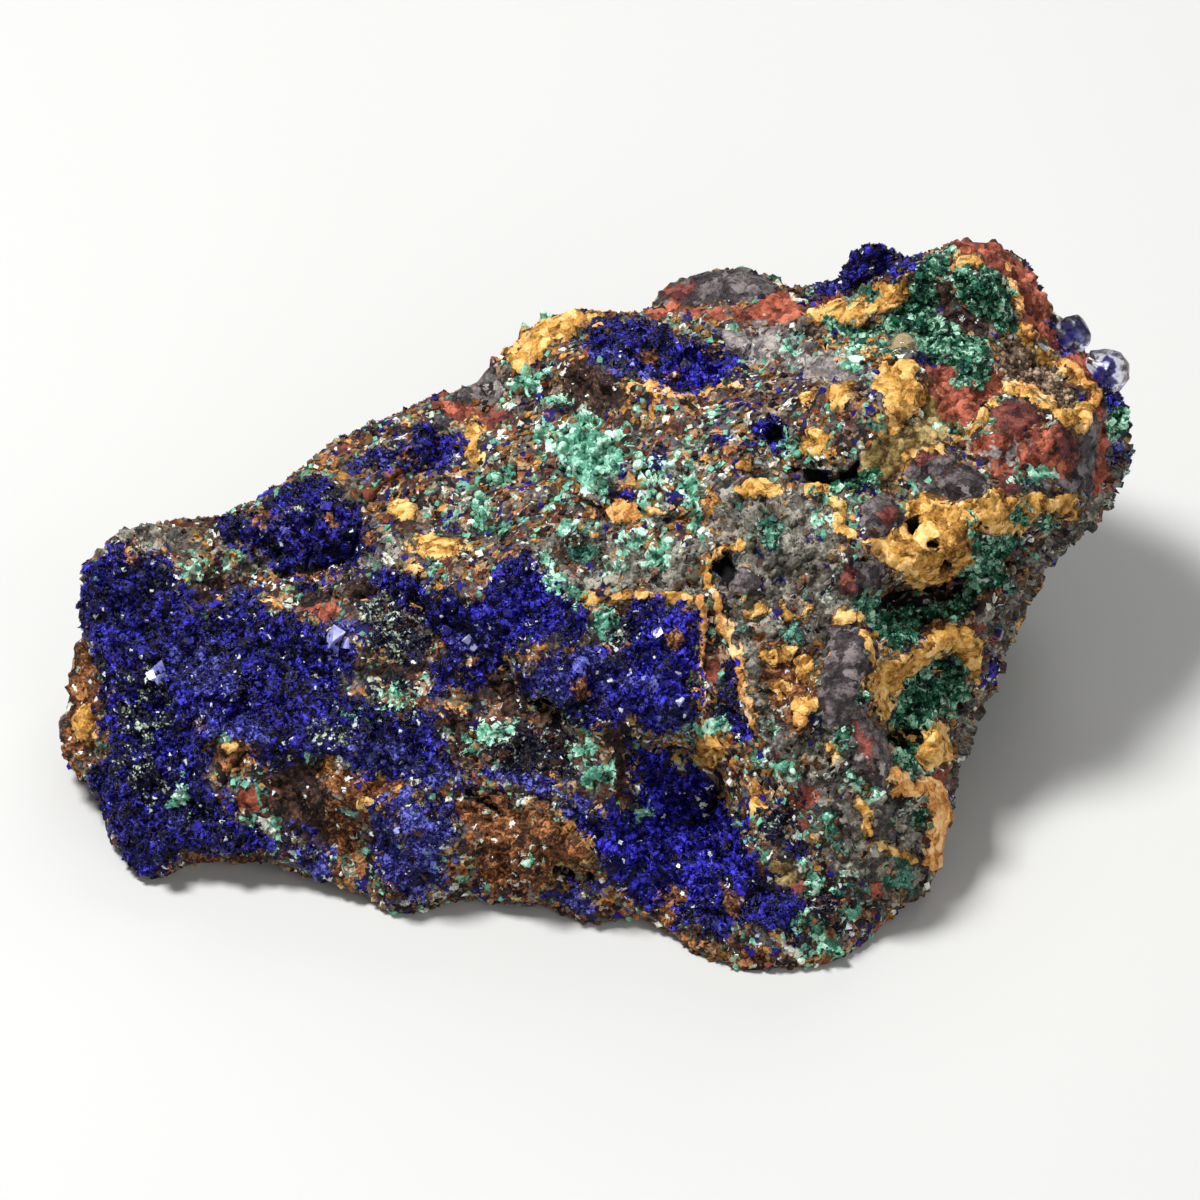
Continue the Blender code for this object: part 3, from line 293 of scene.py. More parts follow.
# Where each mineral shows on the show face, in millimetres: across and up.
SPREADS: dict[Mineral, tuple[Spread, ...]] = {
    Mineral.MIXED: (),
    Mineral.GREY: (
        Outline((  # the ridge down to the foot
            (10.5, 6.0), (11.5, 12.0), (16.0, 12.5), (20.0, 12.0), (23.0, 10.0), (23.5, 5.0), (25.5, 2.5),
            (24.8, -1.5), (25.5, -5.0), (24.0, -12.0), (27.0, -18.5), (30.0, -19.5), (32.5, -22.5),
            (33.0, -27.0), (31.0, -29.8), (27.0, -31.0), (24.0, -27.0), (22.0, -22.5), (19.5, -18.5),
            (16.5, -14.5), (14.4, -9.0), (12.5, -3.0), (11.2, 1.0),
        )),
        Outline((  # skirt of the right side
            (50.5, 20.0), (54.0, 17.0), (54.0, 13.0), (51.0, 8.0), (48.0, 3.0), (45.0, -1.0), (41.5, -5.0),
            (39.6, -9.0), (38.6, -8.0), (38.6, -3.0), (41.0, 2.0), (46.0, 7.0), (49.5, 10.0), (51.5, 14.0),
        )),
        Outline((
            (35.5, -12.0), (38.5, -9.5), (39.0, -12.5), (36.5, -17.0), (35.6, -20.0), (33.8, -18.0),
            (35.0, -14.5),
        )),
        Vein(1.3, (  # rim behind the lobe
            (-51.8, 4.6), (-49.0, 6.2), (-45.5, 6.0), (-42.5, 5.6), (-40.0, 3.6), (-37.0, 5.2), (-33.5, 4.6),
        )),
        Vein(0.7, ((-25.5, 3.4), (-22.0, 4.4), (-18.5, 5.8), (-15.0, 7.0))),
        Vein(0.8, ((-13.5, -18.6), (-10.5, -20.6), (-7.0, -22.3))),
        Outline(((-7.6, 5.6), (-3.0, 6.4), (4.0, 6.0), (10.5, 6.0), (10.0, 0.8), (4.0, 1.4), (-2.0, 1.0))),
    ),
    Mineral.CHOCOLATE: (
        Outline(((-41.0, 2.4), (-37.8, 3.3), (-36.6, 1.6), (-38.6, 0.4), (-39.9, -0.9), (-41.2, 0.8))),
        Outline((  # lump of the ledge under the druse
            (-33.5, -17.5), (-31.0, -15.8), (-28.0, -15.6), (-26.6, -17.6), (-26.0, -20.8), (-24.6, -22.6),
            (-26.6, -24.6), (-29.0, -24.6), (-31.8, -23.0), (-33.4, -20.4),
        )),
        Outline(((-24.6, -6.4), (-21.0, -6.2), (-17.5, -6.3), (-17.6, -7.8), (-21.5, -7.8), (-24.2, -7.2))),
        Outline((
            (-12.2, -6.4), (-9.2, -6.6), (-8.4, -8.6), (-7.2, -9.4), (-6.8, -11.4), (-9.5, -11.0),
            (-12.4, -9.4),
        )),
        Outline(((-14.6, -11.4), (-12.0, -11.4), (-11.6, -13.4), (-12.2, -16.0), (-14.4, -16.0))),
        Outline(((0.7, -13.4), (3.1, -13.4), (3.0, -16.0), (3.2, -20.0), (1.6, -20.2), (0.9, -17.0))),
        Outline((
            (-5.8, 20.4), (-4.0, 23.2), (-1.5, 24.4), (1.0, 22.6), (2.6, 20.5), (2.6, 17.6), (0.5, 18.6),
            (-2.0, 19.5), (-4.5, 18.5),
        )),
        Spot(-24.0, 1.0, 1.6, 1.2),
        Spot(-29.5, 0.2, 3.0, 1.3, -5),
        Outline((  # floor of the head's hollow
            (33.2, 32.2), (34.9, 32.2), (36.0, 30.0), (38.0, 29.2), (39.2, 27.6), (38.6, 26.8), (36.4, 27.2),
            (34.0, 27.2), (33.6, 30.0),
        )),
        Outline(((-11.0, -12.0), (-6.0, -12.6), (-2.0, -13.6), (-2.6, -18.0), (-6.0, -17.0), (-11.0, -16.4))),
    ),
    Mineral.KHAKI: (
        Outline((
            (27.5, 16.0), (29.5, 17.0), (31.5, 18.0), (33.5, 20.8), (36.7, 17.3), (34.7, 15.6), (31.2, 14.5),
            (29.8, 12.2), (29.8, 10.7), (27.2, 12.2), (25.8, 12.7), (26.1, 14.8),
        )),
        Outline(((28.4, 25.9), (30.1, 25.4), (31.8, 22.8), (32.8, 20.5), (31.3, 23.5), (28.6, 24.4))),
        Outline(((-5.6, -21.8), (-2.0, -22.9), (0.2, -25.7), (-1.9, -26.7), (-4.4, -27.0), (-5.0, -24.5))),
        Spot(18.2, -27.2, 1.9, 1.3, -20),
    ),
    Mineral.ORANGE: (
        Outline((  # far left side
            (-52.0, -3.3), (-50.6, -6.7), (-49.8, -10.2), (-49.0, -12.9), (-49.3, -15.6), (-51.4, -16.7),
            (-54.2, -15.9), (-54.6, -12.0), (-54.0, -10.2), (-53.8, -5.1),
        )),
        Spot(-36.6, -15.2, 1.5, 1.6),
        Outline((
            (-27.5, -16.5), (-25.5, -15.9), (-24.0, -17.4), (-20.4, -18.4), (-20.6, -20.6), (-22.5, -21.4),
            (-23.6, -22.4), (-25.0, -20.4), (-27.2, -19.4),
        )),
        Spot(-25.0, -24.0, 1.6, 2.6, 20),
        Outline((  # plate of the lower edge
            (-13.9, -18.6), (-11.0, -18.6), (-8.9, -19.9), (-5.6, -21.2), (-1.9, -22.6), (0.3, -25.8),
            (-1.9, -26.8), (-4.6, -27.4), (-7.2, -28.6), (-11.0, -29.6), (-12.6, -26.1), (-13.1, -22.9),
            (-14.2, -20.7),
        )),
        Vein(0.8, ((8.5, -33.2), (12.0, -34.4), (15.6, -35.8))),
        Vein(0.5, ((37.5, 0.8), (39.5, 1.5))),
        Outline((
            (16.0, -4.8), (18.2, -4.2), (21.0, -5.2), (21.6, -8.6), (20.8, -12.2), (18.2, -12.6),
            (16.4, -9.0),
        )),
        Spot(-49.0, -19.5, 1.2, 1.0),
        Vein(0.7, ((-41.0, -26.0), (-37.0, -25.9), (-33.0, -26.0))),
    ),
    Mineral.PURPLE: (
        Spot(27.9, 8.1, 2.2, 2.0),
        Outline((
            (29.8, 12.6), (31.0, 14.4), (34.4, 15.0), (36.0, 14.6), (34.6, 13.0), (32.6, 12.2), (31.0, 11.6),
        )),
        Spot(36.4, 11.3, 2.2, 1.9),
        Spot(33.0, 11.0, 1.1, 0.7),
        Spot(43.6, 11.2, 1.6, 1.1),
        Spot(30.6, 5.6, 0.9, 1.4),
        Spot(26.6, 2.6, 1.5, 1.5),
        Spot(28.7, 19.9, 1.2, 1.0),
        Spot(14.6, 1.7, 1.9, 1.5),
        Outline((
            (24.6, -10.2), (25.8, -11.0), (27.6, -12.6), (28.8, -15.4), (28.4, -18.2), (26.4, -18.4),
            (24.6, -16.0), (24.2, -12.6),
        )),
        Outline((
            (22.8, -2.6), (25.6, -2.6), (26.4, -6.0), (25.4, -10.2), (24.2, -12.4), (22.0, -11.8),
            (21.4, -8.4), (22.4, -6.0),
        )),
        Outline((  # hump on the skyline
            (5.0, 30.0), (6.8, 32.6), (9.0, 33.6), (13.0, 33.4), (17.0, 33.6), (18.4, 31.2), (14.0, 30.0),
            (10.0, 29.6),
        )),
        Outline((
            (44.0, 19.0), (50.5, 19.5), (51.6, 15.0), (50.0, 11.0), (47.0, 10.5), (45.0, 12.0), (47.5, 15.0),
            (47.6, 17.2),
        )),
        Spot(-14.0, 20.4, 2.0, 0.8, 25),
    ),
    Mineral.RED: (
        Outline((  # rim of the head
            (35.3, 35.8), (37.8, 37.0), (40.1, 37.2), (41.6, 35.2), (43.6, 33.4), (45.6, 31.0), (46.0, 28.5),
            (46.8, 27.0), (48.8, 25.3), (50.8, 23.0), (51.2, 20.8), (48.2, 23.1), (45.0, 25.4), (42.4, 27.4),
            (41.6, 29.4), (41.0, 32.0), (39.3, 33.4), (38.1, 34.8), (35.3, 34.6),
        )),
        Outline((
            (32.4, 24.0), (35.0, 24.0), (36.5, 22.0), (39.0, 23.3), (41.0, 21.6), (39.0, 20.0), (37.5, 18.0),
            (36.0, 16.8), (34.0, 19.0), (33.0, 21.5),
        )),
        Outline(((38.7, 18.6), (40.5, 20.1), (42.5, 20.0), (43.8, 18.4), (42.5, 17.0), (39.5, 16.8))),
        Outline((
            (37.0, 15.6), (39.0, 16.8), (43.0, 17.0), (46.5, 17.6), (47.8, 15.6), (47.0, 12.6), (44.0, 12.0),
            (42.0, 13.0), (39.4, 11.8), (38.6, 13.6),
        )),
        Outline((
            (13.0, 28.2), (16.0, 30.2), (18.6, 31.4), (20.6, 29.4), (22.6, 30.8), (25.0, 31.6), (24.0, 29.6),
            (20.6, 28.4), (16.0, 28.0),
        )),
        Vein(0.6, ((5.4, 28.8), (8.0, 29.6), (11.0, 28.8), (14.0, 28.9))),
        Outline(((-17.8, 19.6), (-15.4, 18.8), (-12.0, 17.6), (-10.6, 17.4), (-12.4, 19.4), (-15.6, 20.4))),
        Spot(-27.0, -1.3, 1.0, 1.2, 20),
        Spot(-29.5, -0.9, 1.2, 0.5),
        Spot(-35.0, -20.0, 1.2, 1.2),
        Spot(-20.5, 13.0, 1.2, 0.5),
        Spot(11.2, -6.6, 0.8, 1.3),
        Spot(33.6, -17.7, 1.0, 1.1),
        Spot(20.3, -19.4, 0.9, 1.1),
        Spot(18.9, -22.9, 0.8, 0.6),
        Spot(19.6, -28.2, 0.7, 0.9),
        Spot(27.2, -28.6, 0.8, 0.7),
        Spot(27.4, -32.6, 0.6, 0.7),
        Spot(31.4, 13.6, 1.5, 0.4, 25),
        Vein(0.8, ((49.6, 20.6), (50.6, 17.6), (50.8, 14.2), (50.0, 11.2))),
    ),
    Mineral.MAROON: (
        Spot(41.3, 18.4, 2.4, 1.6, -10),
        Outline(((30.6, 14.0), (32.4, 15.4), (34.4, 15.2), (33.4, 13.8), (31.4, 13.0))),
        Spot(40.9, 11.4, 1.4, 1.1),
        Vein(0.5, ((25.0, -12.4), (26.2, -14.6), (26.8, -16.6))),
        Spot(24.5, 2.2, 0.8, 1.3),
        Spot(-10.0, 18.5, 1.4, 0.8, 20),
        Spot(28.6, 8.6, 0.9, 0.6, 30),
        Spot(46.6, 15.4, 1.2, 2.0, 20),
        Spot(8.0, 31.6, 1.8, 0.8),
    ),
    Mineral.GOETHITE: (
        Outline((
            (40.4, 26.8), (42.6, 26.6), (44.6, 24.4), (47.0, 22.2), (48.6, 20.4), (47.4, 18.6), (45.4, 19.4),
            (43.0, 21.2), (41.0, 21.4), (39.6, 23.4),
        )),
    ),
    Mineral.OCHRE: (
        Outline((  # the flap
            (19.8, 27.7), (21.5, 29.1), (26.9, 31.1), (31.5, 33.1), (31.7, 32.3), (30.1, 29.7), (27.2, 28.5),
            (25.5, 27.2), (22.6, 28.1),
        )),
        Outline(((35.3, 34.6), (38.1, 34.8), (38.7, 33.4), (37.0, 32.8), (35.8, 33.7))),
        Outline((
            (28.4, 24.2), (31.0, 24.2), (32.7, 20.2), (30.1, 17.3), (28.7, 17.0), (28.4, 20.2), (27.1, 20.8),
            (27.8, 22.5),
        )),
        Vein(0.5, ((41.9, 27.4), (44.4, 24.8), (47.3, 22.5), (49.9, 20.8), (49.3, 18.5), (47.9, 17.3))),
        Spot(48.5, 18.8, 1.3, 1.2),
        Vein(0.45, (
            (30.5, 14.2), (34.7, 15.6), (36.7, 16.5), (38.7, 18.8), (40.7, 20.8), (42.7, 20.8), (45.3, 19.1),
            (47.6, 17.5),
        )),
        Outline((  # the porous brow
            (30.1, 9.9), (32.4, 10.4), (35.0, 9.6), (38.7, 10.7), (42.4, 10.4), (48.2, 10.2), (47.3, 8.4),
            (44.4, 9.0), (41.9, 6.7), (38.7, 6.7), (36.7, 6.4), (36.4, 4.1), (34.7, 2.1), (31.5, 1.0),
            (30.1, 2.4), (27.8, 3.6), (25.8, 5.9), (28.4, 6.4), (30.1, 7.3),
        )),
        Vein(0.6, ((22.0, 11.2), (23.5, 9.5), (23.8, 7.0), (24.8, 6.0))),
        Spot(24.6, -1.8, 1.5, 0.9),
        Outline((  # the arm below the cave
            (25.7, -3.0), (27.3, -5.9), (30.3, -5.4), (32.1, -4.3), (33.5, -1.9), (36.1, -2.7), (38.3, -4.0),
            (38.3, -5.7), (37.5, -8.3), (36.7, -7.3), (35.9, -5.1), (34.3, -4.8), (30.0, -8.1), (29.4, -11.0),
            (28.1, -12.1), (26.5, -10.2), (26.0, -8.1), (26.8, -6.7),
        )),
        Spot(33.0, -14.4, 1.9, 2.4),
        Vein(0.35, ((17.9, -0.3), (18.6, -1.8), (20.0, -1.6), (20.8, -0.8))),
        Vein(0.35, ((13.6, -1.0), (15.0, -1.6), (16.4, -0.4))),
        Vein(0.35, ((10.7, 1.2), (10.9, 3.6), (12.0, 5.0), (13.8, 5.6))),
        Spot(17.5, -5.6, 1.5, 0.8, 15),
        Spot(20.2, -6.8, 1.2, 1.3),
        Spot(17.5, -8.6, 1.0, 0.9),
        Spot(19.8, -10.6, 1.2, 1.6, -20),
        Spot(23.0, -15.0, 0.6, 1.2, 20),
        Vein(0.5, ((25.4, -19.5), (26.3, -21.0), (26.4, -22.8))),
        Vein(0.45, ((28.1, -24.3), (29.6, -25.0), (30.8, -25.8))),
        Spot(10.9, -14.8, 1.5, 1.7),
        Spot(15.6, -20.2, 0.9, 0.9),
        Spot(21.0, 15.6, 1.5, 1.3),
        Spot(16.0, 11.0, 2.0, 1.2),
        Spot(14.5, 13.4, 1.0, 0.8),
        Spot(24.0, 20.2, 0.9, 1.8),
        Spot(20.8, 20.0, 0.8, 1.0),
        Spot(21.5, 10.8, 1.0, 0.6),
        Outline((
            (-9.8, 24.0), (-7.6, 26.8), (-5.5, 28.4), (0.0, 29.0), (0.5, 27.4), (-3.0, 26.4), (-5.2, 25.6),
            (-6.0, 23.8), (-8.0, 23.2),
        )),
        Spot(-12.8, 15.6, 0.9, 2.2),
        Spot(-16.0, 5.2, 2.6, 1.0),
        Spot(-19.5, 9.2, 1.6, 1.1),
        Spot(-1.2, 0.2, 1.2, 0.9),
        Vein(0.45, ((-0.8, -0.2), (3.0, 0.5), (9.3, -0.2))),
        Spot(-51.6, -12.4, 1.3, 2.0),
        Spot(-36.9, -14.6, 0.8, 0.8),
        Spot(-23.0, -20.2, 1.3, 0.7),
    ),
    Mineral.PEACH: (
        Vein(0.95, (  # bright lip of the lower side
            (29.2, -17.4), (30.5, -18.8), (32.1, -18.5), (33.5, -19.6), (33.9, -21.5), (33.3, -23.1),
            (33.2, -25.8),
        )),
        Vein(0.3, ((19.8, 27.4), (22.3, 25.7), (27.2, 24.5), (28.4, 25.4))),
        Vein(0.25, ((25.8, 27.5), (27.4, 28.7), (30.3, 29.9), (31.9, 32.4))),
        Vein(0.25, (  # pale rims of the head's hollow
            (40.8, 33.6), (41.8, 30.5), (42.6, 27.6), (44.6, 25.4), (47.4, 23.2), (50.1, 21.0), (49.7, 18.6),
        )),
        Vein(0.22, ((34.7, 15.9), (36.7, 16.9), (38.7, 19.2), (40.6, 21.2), (42.7, 21.2), (45.3, 19.5))),
        Vein(0.4, ((10.3, 0.0), (10.2, -3.5), (9.9, -7.0), (9.9, -10.5), (10.2, -13.5))),
        Vein(0.4, ((11.5, 0.5), (12.6, -3.0), (13.6, -5.9), (14.4, -9.9), (15.8, -13.2))),
        Vein(0.35, ((3.1, 21.4), (5.9, 21.0), (7.9, 20.2), (10.7, 20.8), (13.8, 21.3))),
        Outline(((-0.3, 9.6), (2.0, 10.2), (5.0, 9.6), (6.4, 8.6), (4.0, 7.8), (1.0, 7.6))),
        Spot(-18.3, 3.0, 1.2, 0.6, -25),
        Spot(-11.3, -2.9, 0.9, 0.7),
        Spot(19.5, -11.6, 1.1, 0.6),
    ),
    Mineral.PALE: (
        Outline((
            (12.5, 26.5), (16.0, 27.6), (20.0, 27.2), (23.0, 25.0), (26.0, 23.6), (26.5, 21.5), (23.0, 21.8),
            (19.0, 22.4), (15.5, 23.6), (13.5, 24.6),
        )),
        Outline(((-13.2, 21.4), (-11.0, 23.4), (-9.4, 22.8), (-8.4, 21.6), (-10.4, 20.6), (-12.6, 20.4))),
        Spot(26.1, -16.4, 1.1, 0.5),
        Vein(0.35, ((-28.0, 1.6), (-25.6, 3.2), (-22.6, 4.4))),
        Spot(40.0, 14.6, 1.0, 0.6),
        Vein(0.9, ((52.6, 15.6), (53.4, 13.0), (52.6, 9.5))),
    ),
    Mineral.AZURITE: (
        Outline((  # the lobe's face
            (-50.6, 4.2), (-49.3, 4.9), (-47.2, 5.2), (-44.5, 4.8), (-43.1, 3.7), (-42.3, 2.6), (-41.4, 0.7),
            (-40.7, -0.6), (-39.9, -1.4), (-37.5, 0.2), (-36.2, 1.3), (-34.6, 1.6), (-34.2, 0.2),
            (-33.8, -0.9), (-31.4, -1.4), (-29.2, -1.9), (-27.1, -3.3), (-24.4, -4.1), (-24.1, -6.0),
            (-24.9, -6.8), (-25.5, -9.4), (-22.0, -10.4), (-16.0, -11.5), (-15.0, -16.8), (-16.0, -19.0),
            (-18.5, -18.0), (-20.4, -18.3), (-24.4, -17.2), (-26.0, -15.6), (-29.2, -15.1), (-33.0, -16.9),
            (-34.8, -15.1), (-35.4, -13.7), (-37.5, -13.6), (-38.9, -15.1), (-39.1, -18.3), (-36.2, -21.2),
            (-33.8, -22.6), (-31.9, -25.0), (-35.1, -25.2), (-39.9, -25.5), (-41.5, -25.0), (-43.1, -27.2),
            (-45.0, -28.2), (-47.4, -26.6), (-48.6, -23.9), (-49.4, -21.0), (-51.4, -18.3), (-51.2, -16.9),
            (-49.0, -15.1), (-49.6, -12.1), (-49.8, -8.6), (-51.4, -5.1), (-52.0, -2.5), (-53.8, -0.9),
            (-53.0, 1.3), (-52.9, 2.9),
        )),
        Outline((  # the slope behind it
            (-39.9, 8.4), (-35.6, 9.0), (-32.7, 10.4), (-30.3, 12.4), (-27.5, 12.6), (-26.0, 10.5),
            (-23.9, 8.8), (-23.3, 7.2), (-24.4, 5.8), (-22.8, 5.0), (-25.7, 3.2), (-27.6, 1.3), (-30.3, 1.8),
            (-32.4, 3.2), (-35.6, 4.8), (-37.5, 6.1),
        )),
        Outline((
            (-24.5, 14.1), (-23.2, 15.4), (-19.4, 16.2), (-18.4, 18.2), (-16.3, 17.7), (-14.0, 16.4),
            (-13.8, 14.7), (-14.8, 13.1), (-17.6, 12.9), (-20.9, 13.4), (-24.0, 12.6),
        )),
        Outline((  # the pocket under the crown
            (-2.5, 26.1), (-0.5, 27.2), (1.5, 28.6), (4.6, 28.5), (6.6, 27.2), (9.7, 26.1), (13.3, 23.3),
            (13.8, 21.8), (10.5, 21.0), (7.9, 20.4), (6.4, 21.0), (5.6, 22.1), (3.6, 22.1), (1.5, 23.1),
            (0.3, 24.1), (-2.0, 25.1),
        )),
        Spot(-3.1, 13.5, 0.9, 1.0),
        Spot(2.7, 10.7, 2.7, 0.7),
        Spot(5.5, 13.5, 1.0, 1.0),
        Outline((  # crest of the main face
            (-7.2, 5.0), (-9.9, 3.4), (-10.7, 1.8), (-12.6, 0.2), (-16.9, 0.7), (-18.5, 2.1), (-20.6, 2.9),
            (-22.8, 2.6), (-23.1, 1.3), (-20.4, -1.4), (-18.0, -2.5), (-16.6, -4.1), (-14.7, -5.1),
            (-16.9, -6.8), (-16.9, -9.2), (-14.2, -9.2), (-12.1, -8.4), (-8.9, -5.7), (-5.6, -4.1),
            (-3.5, -4.1), (-1.4, -3.5), (-1.1, -2.5), (-1.4, -0.6), (-3.2, 0.7), (-5.1, 2.6), (-6.2, 4.5),
        )),
        Outline((  # the block
            (2.9, -0.3), (9.4, -0.9), (9.6, -12.1), (5.6, -13.4), (2.4, -11.3), (-0.3, -12.9), (-3.2, -12.1),
            (-5.1, -9.4), (-7.5, -9.2), (-8.9, -6.8), (-6.0, -6.0), (-0.8, -4.1), (0.8, -5.1), (2.4, -4.6),
            (1.9, -2.5),
        )),
        Outline((  # the deep pocket of the foot
            (3.2, -13.7), (5.1, -14.0), (6.2, -15.3), (9.6, -17.2), (12.3, -19.4), (14.2, -21.7),
            (16.0, -25.7), (16.8, -27.6), (19.3, -29.0), (21.4, -30.3), (19.8, -31.6), (19.5, -34.6),
            (17.5, -32.5), (14.4, -31.6), (11.5, -33.5), (8.5, -32.7), (4.0, -30.5), (0.8, -27.6),
            (-0.3, -25.5), (-2.4, -22.5), (-3.8, -20.1), (-1.4, -20.9), (0.8, -20.1), (2.9, -20.4),
            (3.5, -18.3),
        )),
        Outline(((12.0, -5.9), (13.5, -6.2), (13.8, -9.5), (15.4, -13.0), (13.5, -13.8), (11.8, -12.0))),
        Spot(17.0, 16.5, 2.1, 2.0),
        Outline((  # the knob behind the flap
            (21.6, 29.8), (26.9, 31.4), (31.5, 33.2), (33.0, 35.0), (31.0, 37.0), (25.0, 37.0), (22.4, 33.4),
        )),
        Spot(39.2, -7.0, 0.8, 1.1),
        Outline(((50.2, 22.8), (53.2, 23.0), (53.6, 20.6), (52.6, 18.4), (51.0, 18.8))),
        Spot(34.3, 24.2, 2.4, 0.35, -6),
        Spot(19.2, -24.6, 1.8, 1.0, -30),
        Spot(13.0, 24.0, 1.2, 0.9),
    ),
    Mineral.ROYAL: (  # the brightest blue of the azurite
        Outline((
            (2.9, -0.3), (9.4, -0.9), (9.6, -12.1), (5.6, -13.2), (2.4, -11.0), (1.0, -8.0), (2.4, -4.6),
        )),
        Outline((
            (4.0, -14.6), (9.6, -17.6), (13.6, -21.7), (15.4, -25.7), (13.0, -30.6), (8.5, -31.6),
            (4.0, -29.5), (0.8, -26.6), (-1.6, -22.5), (2.9, -21.0),
        )),
        Outline(((5.6, 24.4), (9.4, 25.0), (12.8, 22.8), (13.4, 21.6), (10.5, 21.0), (7.9, 20.6))),
        Outline((
            (-16.0, 0.2), (-12.6, -0.2), (-8.6, 2.4), (-6.0, 2.6), (-4.0, -1.0), (-6.6, -3.6), (-11.6, -3.0),
        )),
        Spot(29.0, 34.4, 2.0, 1.2),
    ),
    Mineral.VIOLET: (
        Vein(0.7, ((52.9, 15.0), (53.4, 13.0), (52.9, 11.0))),
        Outline((  # lighter crystals across the lobe
            (-43.8, -5.2), (-38.6, -3.2), (-38.4, -6.0), (-36.4, -8.2), (-38.4, -9.4), (-41.6, -8.4),
            (-43.6, -7.8),
        )),
        Vein(0.7, ((-40.0, -11.6), (-37.6, -12.4), (-35.0, -12.4), (-33.4, -14.4))),
        Outline((
            (-28.0, -12.8), (-24.0, -12.6), (-16.0, -15.0), (-16.0, -16.8), (-22.0, -16.2), (-27.0, -14.8),
        )),
        Vein(0.8, (
            (-22.0, -21.0), (-19.4, -19.4), (-14.5, -17.3), (-9.0, -17.4), (-4.6, -18.5), (-2.4, -20.6),
        )),
        Spot(-25.6, -3.2, 1.5, 1.0, -15),
        Spot(-36.0, 0.6, 1.5, 1.0, 20),
        Outline((  # the slab on the main face
            (-8.9, -6.8), (-5.6, -5.2), (-1.1, -4.1), (0.3, -6.5), (-0.3, -8.4), (-1.4, -10.2), (-4.0, -10.2),
            (-7.5, -8.9),
        )),
        Spot(-13.2, -3.8, 1.5, 0.9, 20),
        Spot(4.9, -8.7, 1.6, 1.0),
        Spot(7.6, -10.8, 1.6, 1.4),
        Outline((
            (-22.0, -26.4), (-22.6, -22.4), (-19.6, -20.6), (-15.4, -19.6), (-14.4, -24.0), (-15.6, -29.4),
            (-19.0, -30.6),
        )),
        Spot(-28.6, -25.6, 2.6, 1.6, -40),
        Spot(3.0, 23.4, 2.0, 0.7, -20),
        Vein(0.6, ((-24.0, 13.2), (-21.4, 14.4), (-19.0, 15.6))),
        Spot(-31.0, 8.6, 2.6, 1.0, 30),
        Spot(-41.6, -22.0, 1.8, 1.0),
        Spot(-2.0, -29.4, 2.0, 1.6),
        Spot(47.0, 26.8, 1.5, 1.6),
    ),
    Mineral.QUARTZ: (
        Spot(2.2, -2.9, 1.9, 1.4, -30),
        Spot(-28.6, 9.8, 1.1, 0.7),
        Outline((
            (-47.8, -7.6), (-45.4, -6.6), (-43.4, -9.0), (-43.2, -13.6), (-45.4, -15.0), (-47.6, -12.0),
        )),
        Spot(-45.6, -17.8, 1.3, 2.6, 15),
        Vein(0.8, ((-43.6, -18.4), (-41.8, -19.6), (-40.4, -21.6))),
        Outline(((-23.8, 0.0), (-20.0, 1.0), (-17.2, -1.6), (-16.6, -4.8), (-19.0, -6.0), (-22.4, -5.2))),
        Outline(((-11.8, -12.8), (-6.0, -12.9), (-2.2, -14.2), (-3.0, -17.0), (-8.0, -16.6), (-11.4, -15.4))),
        Spot(-20.6, -9.4, 2.0, 1.4, -20),
        Spot(-25.8, -13.0, 1.6, 0.8),
        Spot(-3.6, -11.2, 1.2, 1.0),
        Spot(22.6, -30.4, 1.8, 2.4, 30),
        Spot(18.0, -22.0, 1.6, 2.6, -20),
    ),
    Mineral.GREEN: (
        Outline((  # left lobe of the head's hollow and the gallery under the flap
            (32.4, 33.6), (34.0, 35.0), (35.6, 35.0), (35.4, 33.0), (33.8, 31.8), (33.4, 30.0), (34.2, 28.4),
            (36.0, 27.4), (35.8, 24.5), (34.4, 25.9), (31.8, 24.5), (30.1, 26.5), (28.4, 27.1), (26.1, 25.4),
            (22.3, 27.7), (23.2, 28.1), (26.1, 27.4), (28.4, 28.5), (30.1, 29.4), (30.7, 31.1), (31.5, 32.3),
        )),
        Outline((  # right lobe of the hollow
            (35.4, 33.2), (37.6, 33.4), (40.2, 32.9), (41.6, 30.0), (41.8, 27.2), (40.2, 26.2), (39.2, 28.2),
            (37.6, 29.4), (36.0, 30.4),
        )),
        Outline((  # the crystals at its mouth
            (32.0, 26.4), (35.4, 26.9), (38.6, 26.4), (39.4, 24.0), (36.4, 23.2), (34.2, 24.0), (31.6, 24.8),
        )),
        Spot(37.0, 22.4, 1.8, 0.9),
        Outline((  # the cave
            (24.9, 0.0), (27.8, 0.2), (31.0, 1.1), (34.8, 1.6), (40.7, 3.2), (40.2, 1.6), (38.3, 1.1),
            (36.4, -1.4), (34.8, -2.2), (32.1, -1.6), (31.6, -3.8), (29.4, -5.1), (27.8, -4.0), (26.5, -1.9),
            (25.1, -0.8),
        )),
        Outline((  # the pocket of the broken side
            (30.0, -8.3), (34.3, -5.1), (35.6, -6.2), (36.7, -7.3), (36.1, -11.0), (34.8, -12.1),
            (33.7, -11.0), (31.3, -13.4), (31.0, -15.3), (32.1, -17.4), (31.0, -18.0), (29.2, -16.6),
            (28.4, -12.1), (29.4, -11.0),
        )),
        Outline(((36.4, 4.1), (37.3, 6.4), (41.3, 7.0), (41.9, 6.4), (40.4, 4.1), (38.4, 2.1), (35.8, 2.4))),
        Spot(36.5, 7.6, 0.6, 0.9),
        Spot(41.7, 8.6, 1.0, 1.0),
        Spot(44.1, 8.0, 0.9, 0.7),
        Spot(25.0, 11.2, 2.4, 0.6, 15),
        Spot(27.0, 12.4, 0.8, 0.5),
        Spot(52.2, 17.8, 1.1, 1.5),
        Spot(26.0, -9.2, 0.6, 0.9),
        Spot(31.9, -21.7, 0.6, 0.7),
